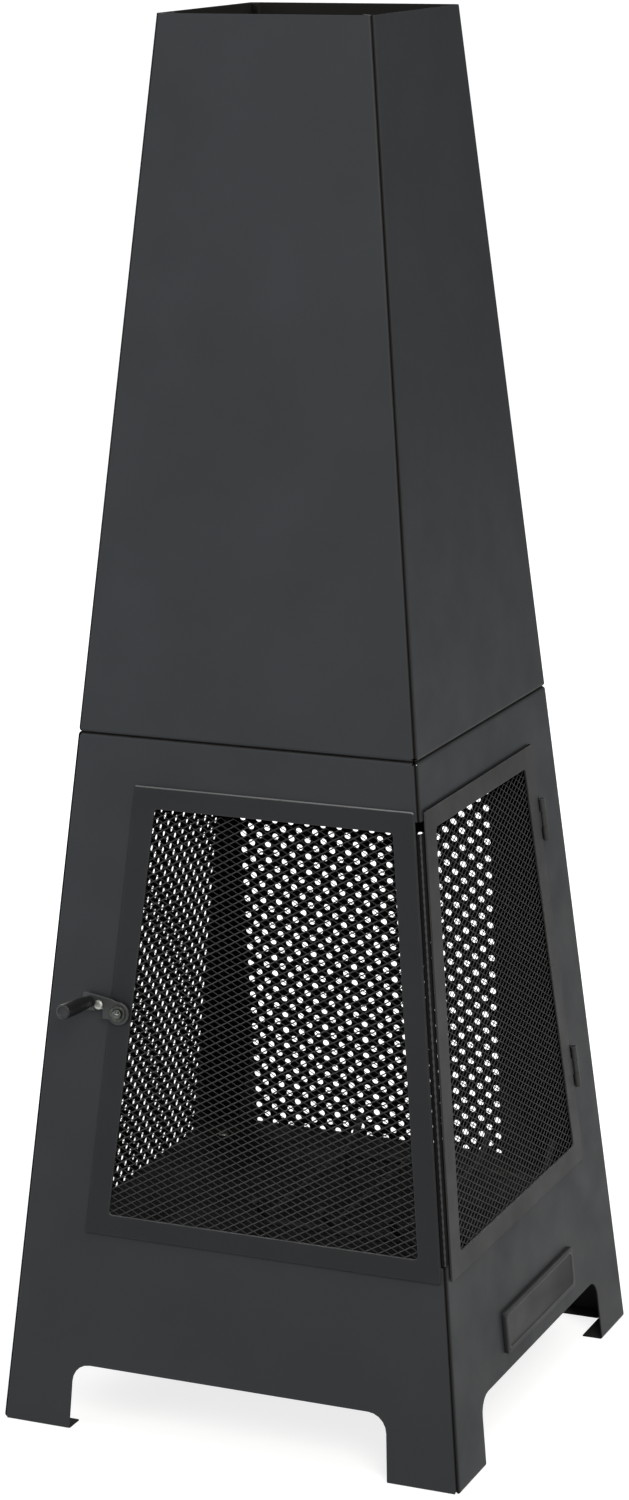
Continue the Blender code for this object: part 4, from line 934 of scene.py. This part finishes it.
def pan_screw():
    """The latch screw: round shank and domed head with a cross recess, which is material 1."""
    seat, top = SCREW_SEAT, SCREW_SEAT + SCREW_HEAD
    profile = [(0, SCREW_START), (SCREW_RADIUS, SCREW_START), (SCREW_RADIUS, seat)]
    profile += [(SCREW_HEAD_RADIUS, seat), (SCREW_HEAD_RADIUS, seat + SCREW_HEAD * SCREW_SHOULDER)]
    profile += [(SCREW_HEAD_RADIUS * SCREW_DOME_RADIUS, top - SCREW_HEAD * SCREW_DOME_DROP)]
    profile += [(SCREW_FLAT, top)]
    bm = turned([tuple(point) for point in softened(profile, FINE_EDGE)])
    long, wide = RECESS_LONG, RECESS_WIDE
    cross = [(long, -wide), (long, wide), (wide, wide), (wide, long), (-wide, long), (-wide, wide)]
    cross += [(-x, -y) for x, y in cross]
    corners = outline_of(open_edges(bm))
    hole = [Vector(point) for point in cross]
    _, brim = pierced(bm, corners, [hole], lambda place: place.xy, lambda point: (*point, top))
    bottom = top - RECESS_DEPTH
    depth = [bm.verts.new((x * RECESS_TAPER, y * RECESS_TAPER, bottom)) for x, y in cross]
    for index in range(len(cross)):
        after = (index + 1) % len(cross)
        bm.faces.new((brim[index], brim[after], depth[after], depth[index])).material_index = 1
    bm.faces.new(depth).material_index = 1
    return bm


def add_latch_fittings():
    """Screw, washers, keeper stud and grip of the latch, truly round."""
    axes = latch_matrix()
    keeper = axes @ Matrix.Translation(KEEPER_PLACE)
    grip = axes @ Matrix.Translation(GRIP_PLACE)
    for name, start in (("latch_back_washer", BACK_WASHER), ("latch_front_washer", FRONT_WASHER)):
        end = start + WASHER_SHEET
        profile = [(WASHER_BORE, start), (WASHER_RADIUS, start), (WASHER_RADIUS, end), (WASHER_BORE, end)]
        bm = moved(turned(softened(profile, SOFT_EDGE), ring=True), axes)
        add_piece(name + "_ring", bm, "door", DULL_ZINC, (name,))
    bm = moved(pan_screw(), axes)
    screw = add_piece("latch_pan_screw", bm, "door", SCREW_ZINC, ("latch_screw",))
    # The cross recess takes the brighter zinc: painted highlight.
    screw.data.materials.append(ZINC)

    bm = moved(turned(softened(KEEPER_PROFILE, SOFT_EDGE)), keeper)
    add_piece("keeper_stud", bm, "body", ZINC, ("latch_keeper",))

    profile = softened([(radius, FRONT_WASHER + height) for radius, height in GRIP_PROFILE], GRIP_EDGE)
    bm = moved(turned([(0, FRONT_WASHER + GRIP_BORE_DEPTH)] + profile), grip)
    add_piece("round_grip", bm, "latch", GRIP_PLASTIC, ("latch_grip",))

    seat = LEVER_BACK - GRIP_SCREW_GAP
    low = seat - GRIP_SCREW_HEAD
    profile = [(0, low), (GRIP_SCREW_HEAD_RADIUS, low), (GRIP_SCREW_HEAD_RADIUS, seat)]
    profile += [(GRIP_SCREW_RADIUS, seat), (GRIP_SCREW_RADIUS, GRIP_SCREW_END), (0, GRIP_SCREW_END)]
    bm = moved(turned(softened(profile, FINE_EDGE)), grip)
    add_piece("grip_screw", bm, "latch", ZINC, ("latch_grip_screw",))


def bent_strip(bm, path, low, high):
    """Hinge strip along a path in X and Z, from low to high along Y."""
    path = [Vector(point) for point in path]
    runs = [(after - point).normalized() for point, after in zip(path, path[1:])]
    rings = []
    for index, point in enumerate(path):
        before, ahead = runs[max(index - 1, 0)], runs[min(index, len(runs) - 1)]
        middle = (before + ahead).normalized()
        across = Vector((-middle.y, middle.x)) * (HINGE_STRIP / 2 / math.cos(before.angle(ahead) / 2))
        one, other = point + across, point - across
        corners = ((one, low), (other, low), (other, high), (one, high))
        rings.append([bm.verts.new((place.x, level, place.y)) for place, level in corners])
    join_rings(bm, rings)


def curl(start, end):
    """Points of a leaf's curl round the pin, from one angle in degrees to another."""
    angles = [math.radians(start + (end - start) * step / CURL_STEPS) for step in range(CURL_STEPS + 1)]
    return [(math.cos(angle) * CURL_RADIUS, math.sin(angle) * CURL_RADIUS) for angle in angles]


def body_leaf():
    """The fixed leaf, with a curl at each end of the pin."""
    bm = bmesh.new()
    path = [(BODY_LEAF_END, BODY_LEAF_DEPTH), (CURL_RADIUS, BODY_LEAF_DEPTH)]
    inner_end = KNUCKLE_HALF + KNUCKLE_GAP
    for low, high in ((-HINGE_HALF, -inner_end), (inner_end, HINGE_HALF)):
        bent_strip(bm, path + curl(*BODY_CURL), low, high)
    bent_strip(bm, path, -inner_end, inner_end)
    return bm


def door_leaf():
    """The moving leaf, with one curl at the middle of the pin."""
    bm = bmesh.new()
    bent_strip(bm, [(DOOR_LEAF_END, -CURL_RADIUS)] + curl(*DOOR_CURL), -KNUCKLE_HALF, KNUCKLE_HALF)
    return bm


def add_hinge_leaves():
    """Rolled leaves of both hinges."""
    for name, height in HINGE_HEIGHTS.items():
        axes = hinge_matrix(height)
        for body, bm in (("body", body_leaf()), ("door", door_leaf())):
            leaf = name + "_hinge_" + body + "_leaf"
            rolled = name + "_rolled_" + body + "_leaf"
            add_piece(rolled, moved(bm, axes), body, HINGE_LIT_PAINT, (leaf,))


def add_hinge_fittings():
    """Round pins and domed rivets of both hinges."""
    upright = Matrix.Rotation(QUARTER_TURN, 4, "X")
    for name, height in HINGE_HEIGHTS.items():
        axes = hinge_matrix(height)
        profile = [(0, -HINGE_HALF), (PIN_RADIUS, -HINGE_HALF), (PIN_RADIUS, HINGE_HALF), (0, HINGE_HALF)]
        bm = moved(turned(softened(profile, SOFT_EDGE), PIN_SIDES), axes @ upright)
        add_piece(name + "_round_pin", bm, "body", DULL_ZINC, (name + "_hinge_pin",))
        place = axes @ Matrix.Translation(RIVET_PLACE)
        bm = moved(turned(softened(RIVET_PROFILE, SOFT_EDGE), RIVET_SIDES), place)
        add_piece(name + "_dome_rivet", bm, "body", PAINT, (name + "_hinge_rivet",))


def hex_bolt():
    """A hex bolt with a chamfered head and a threaded shank."""
    bm = bmesh.new()
    low = BOLT_SEAT - BOLT_HEAD
    head = [(0, low), (BOLT_HEAD_RADIUS * BOLT_HEAD_FLAT, low), (BOLT_HEAD_RADIUS, low + BOLT_CHAMFER)]
    head += [(BOLT_HEAD_RADIUS, BOLT_SEAT), (0, BOLT_SEAT)]
    turned(head, HEX_SIDES, bm)
    shank = [(BOLT_RADIUS, BOLT_SEAT)]
    height = BOLT_SEAT + THREAD
    while height < BOLT_END - THREAD:
        shank += [(BOLT_RADIUS, height), (BOLT_RADIUS * THREAD_ROOT, height + THREAD / 2)]
        height += THREAD
    shank += [(BOLT_RADIUS * BOLT_TIP, BOLT_END), (0, BOLT_END)]
    return turned(shank, BOLT_SIDES, bm)


def add_bolts():
    """Hex bolts of the corners and seams."""
    shifted = Matrix.Translation((SHIFT, 0, 0))
    across = Vector((1, 1, 0)).to_track_quat("Z", "Y").to_matrix().to_4x4()
    for side, corner in CORNERS.items():
        turn = shifted @ Matrix.Rotation(SIDE_TURN_SHARES[side] * math.tau, 4, "Z")
        places = {}
        for place, height in BOLT_HEIGHTS.items():
            reach = half_width(height) - BOLT_SETBACK / math.sqrt(2)
            axes = turn @ Matrix.Translation((reach, -reach, height)) @ across
            places[corner + "_" + place + "_bolt"] = axes
        depth = SEAM_BOLT_DEPTH - half_width(SEAM_HEIGHT)
        places[side + "_seam_bolt"] = turn @ Matrix.Translation((0, depth, SEAM_HEIGHT))
        for name, axes in places.items():
            add_piece(name + "_hex", moved(hex_bolt(), axes), "body", ZINC, (name,))


def add_floor_screws():
    """Pan-headed screws of the floor."""
    seat, radius = FLOOR_SCREW_SEAT, FLOOR_SCREW_RADIUS
    profile = [(0, FLOOR_SCREW_END), (radius, FLOOR_SCREW_END), (radius, seat)]
    profile += [(across, seat + rise) for across, rise in FLOOR_SCREW_HEAD]
    for corner, (x, y) in FLOOR_SCREWS.items():
        place = Matrix.Translation((SHIFT + x, y, 0))
        bm = moved(turned(softened(profile, SOFT_EDGE), FLOOR_SCREW_SIDES), place)
        name = corner + "_floor_screw"
        add_piece(name + "_pan", bm, "body", ZINC, (name,))


def add_rod(bm, path, bend):
    """A round rod along a bent path that lies in one upright plane."""
    path = softened(path, bend, BEND_STEPS)
    points = [point for point, after in zip(path, path[1:]) if (after - point).length > WELD]
    points.append(path[-1])
    flat = Vector((0, 0, 1)).cross(points[-1] - points[0]).normalized()
    rings = []
    for index, point in enumerate(points):
        ahead = points[min(index + 1, len(points) - 1)] - points[max(index - 1, 0)]
        across = ahead.normalized().cross(flat)
        ring = []
        for side in range(ROD_SIDES):
            angle = math.tau * side / ROD_SIDES
            ring.append(bm.verts.new(point + (flat * math.cos(angle) + across * math.sin(angle)) * ROD))
        rings.append(ring)
    join_rings(bm, rings)


def add_grate():
    """The loose rack: four rods with turned-up ends on two bent bearers."""
    bm = bmesh.new()
    right_half = [(ROD_STRAIGHT_HALF, ROD_HEIGHT), (ROD_LENGTH_HALF, ROD_TIP)]
    rod = [(-along, height) for along, height in reversed(right_half)] + right_half
    for y in ROD_PLACES:
        add_rod(bm, [(SHIFT + along, y, height) for along, height in rod], ROD_BEND)
    near, far = ROD_PLACES[-1] - ROD, ROD_PLACES[0] + ROD
    bearer = ((near, BEARER_FOOT), (near, BEARER_HEIGHT), (far, BEARER_HEIGHT), (far, BEARER_FOOT))
    for x in (SHIFT - BEARER_PLACE, SHIFT + BEARER_PLACE):
        add_rod(bm, [(x, y, height) for y, height in bearer], BEARER_BEND)
    add_piece("log_grate", bm, "body", INNER_PAINT, ("fire_grate",))


def badge_ring(inset, height):
    """Points round the badge at an inset from its edge and a height over the wall."""
    low, high = BADGE_LOW / math.cos(TILT), BADGE_HIGH / math.cos(TILT)
    radius = (BADGE_CORNER if inset < BADGE_EDGE else BADGE_BEAD_CORNER) - inset
    points = []
    for quarter, (x, y) in enumerate(((1, 1), (-1, 1), (-1, -1), (1, -1))):
        corner_x = x * (BADGE_HALF - inset - radius)
        corner_y = (high if y > 0 else low) - y * (inset + radius)
        for step in range(BADGE_CORNER_STEPS + 1):
            angle = QUARTER_TURN * (quarter + step / BADGE_CORNER_STEPS)
            across, up = math.cos(angle) * radius, math.sin(angle) * radius
            points.append((corner_x + across, corner_y + up, height))
    return points


def add_badge():
    """The bare plate, with a thin bead inside its edge that is painted lighter as painted highlight."""
    bm = bmesh.new()
    rings = [[bm.verts.new(point) for point in badge_ring(*level)] for level in BADGE_LEVELS]
    faces = join_rings(bm, rings)
    count = len(rings[0])
    for level in BADGE_BEAD_LEVELS:
        for face in faces[level * count:(level + 1) * count]:
            face.material_index = 1
    bm = moved(bm, face_matrix("front"))
    badge = add_piece("bare_badge", bm, "body", BADGE_PAINT, ("badge_plate",))
    badge.data.materials.append(BEAD_HIGHLIGHT_PAINT)


def assign_materials():
    """Gives each solid its material, for those that stay in view."""
    slots = {entry["node"]: entry["material_slot"] for entry in frame["record"]["subparts"]}
    by_slot = {
        "casing_paint": PAINT,
        "mesh_paint": MESH_PAINT,
        "badge_paint": BADGE_PAINT,
        "inner_paint": INNER_PAINT,
        "grip": GRIP_PLASTIC,
        "fasteners": ZINC,
    }
    by_name = {"latch_lever": LEVER_PAINT, "floor_pan": FLOOR_PAINT}
    for name, node in frame["nodes"].items():
        node.data.materials.clear()
        node.data.materials.append(by_name.get(name, by_slot[slots[name]]))


def seen_directly(tree):
    """1 for the camera's rays and for what glossy and clear surfaces show."""
    path = tree.nodes.new("ShaderNodeLightPath")
    value = path.outputs["Is Camera Ray"]
    for name in ("Is Glossy Ray", "Is Transmission Ray"):
        either = tree.nodes.new("ShaderNodeMath")
        either.operation = "MAXIMUM"
        tree.links.new(value, either.inputs[0])
        tree.links.new(path.outputs[name], either.inputs[1])
        value = either.outputs["Value"]
    return value


def add_floor():
    """A white floor that keeps a soft shadow, and glows more away from the chiminea."""
    shader = Shader("floor")
    inputs = shader.surface.inputs
    inputs["Base Color"].default_value = (STAGE_GREY, STAGE_GREY, STAGE_GREY, 1)
    inputs["Roughness"].default_value = STAGE_ROUGHNESS
    inputs["Specular IOR Level"].default_value = 0.0
    inputs["Emission Color"].default_value = (1, 1, 1, 1)
    reach = shader.add("ShaderNodeVectorMath", operation="LENGTH")
    shader.link(shader.place, reach.inputs[0])
    glow = shader.ranged(reach.outputs["Value"], GLOW_REACH, GLOW, interpolation_type="SMOOTHSTEP")
    glow = shader.math("MULTIPLY", glow, seen_directly(shader.tree))
    shader.link(glow, inputs["Emission Strength"])
    bm = bmesh.new()
    bmesh.ops.create_circle(bm, cap_ends=True, segments=STAGE_SIDES, radius=STAGE_RADIUS)
    floor = add_mesh("floor", bm, shader.material)
    floor.location.z = -STAGE_DROP


def add_world():
    """A world that looks white and lights only a little."""
    world = bpy.data.worlds.new("studio")
    bpy.context.scene.world = world
    world.use_nodes = True
    tree = world.node_tree
    ambient = tree.nodes["Background"]
    ambient.inputs["Color"].default_value = (1, 1, 1, 1)
    ambient.inputs["Strength"].default_value = AMBIENT
    white = tree.nodes.new("ShaderNodeBackground")
    white.inputs["Color"].default_value = (1, 1, 1, 1)
    mix = tree.nodes.new("ShaderNodeMixShader")
    tree.links.new(seen_directly(tree), mix.inputs[0])
    tree.links.new(ambient.outputs["Background"], mix.inputs[1])
    tree.links.new(white.outputs["Background"], mix.inputs[2])
    tree.links.new(mix.outputs["Shader"], tree.nodes["World Output"].inputs["Surface"])


def add_dark_backdrop():
    """The dark side of the studio, to the right of the chiminea, which only reflections show."""
    material = bpy.data.materials.new("dark_backdrop")
    material.use_nodes = True
    surface = material.node_tree.nodes["Principled BSDF"]
    surface.inputs["Base Color"].default_value = (CARD_GREY, CARD_GREY, CARD_GREY, 1)
    (near, far), (low, high) = CARD_ALONG, CARD_UP
    bm = bmesh.new()
    corners = ((near, low), (far, low), (far, high), (near, high))
    bm.faces.new([bm.verts.new((CARD_PLACE, along, up)) for along, up in corners])
    card = add_mesh("dark_backdrop", bm, material)
    card.visible_camera = False
    card.visible_diffuse = False
    card.visible_transmission = False
    card.visible_shadow = False


def add_lamp(name, place, target, size, power, colour=(1, 1, 1)):
    """A square lamp that faces its target."""
    lamp = bpy.data.lights.new(name, "AREA")
    lamp.shape = "RECTANGLE"
    lamp.size = size
    lamp.size_y = size
    lamp.energy = power
    lamp.color = colour
    holder = add_object(name, lamp)
    holder.location = place
    aim = Vector(target) - Vector(place)
    holder.rotation_euler = aim.to_track_quat("-Z", "Y").to_euler()


def add_camera():
    """The camera that took the photograph, from its azimuth, pitch and roll."""
    data = bpy.data.cameras.new("camera")
    data.lens = CAMERA_LENS
    camera = add_object("camera", data)
    east, north, level = math.sin(CAMERA_AZIMUTH), math.cos(CAMERA_AZIMUTH), math.cos(CAMERA_PITCH)
    ahead = Vector((east * level, north * level, -math.sin(CAMERA_PITCH)))
    right = Vector((north, -east, 0))
    up = right.cross(ahead)
    rolled_right = right * math.cos(CAMERA_ROLL) + up * math.sin(CAMERA_ROLL)
    rolled_up = up * math.cos(CAMERA_ROLL) - right * math.sin(CAMERA_ROLL)
    turn = Matrix((rolled_right, rolled_up, -ahead)).transposed().to_4x4()
    camera.matrix_world = Matrix.Translation(CAMERA_PLACE) @ turn
    bpy.context.scene.camera = camera


assign_materials()
perforated("right", 1)
perforated("back", -1)
# Each frame's top edge gets its second material: painted highlight on the left, painted shadow on the
# front.
rolled_frame("left", -1, DOOR_PAINT, TOP_EDGE_HIGHLIGHT_PAINT)
rolled_frame("front", 1, FRONT_FRAME_LIT_PAINT, FOLD_SHADE_PAINT)
add_expanded_mesh()
add_latch_fittings()
add_hinge_leaves()
add_hinge_fittings()
add_bolts()
add_floor_screws()
add_grate()
add_badge()
add_floor()
add_world()
add_dark_backdrop()
for lamp_name, lamp_settings in LAMPS.items():
    add_lamp(lamp_name, **lamp_settings)
add_camera()
bpy.context.scene.view_settings.view_transform = "Standard"
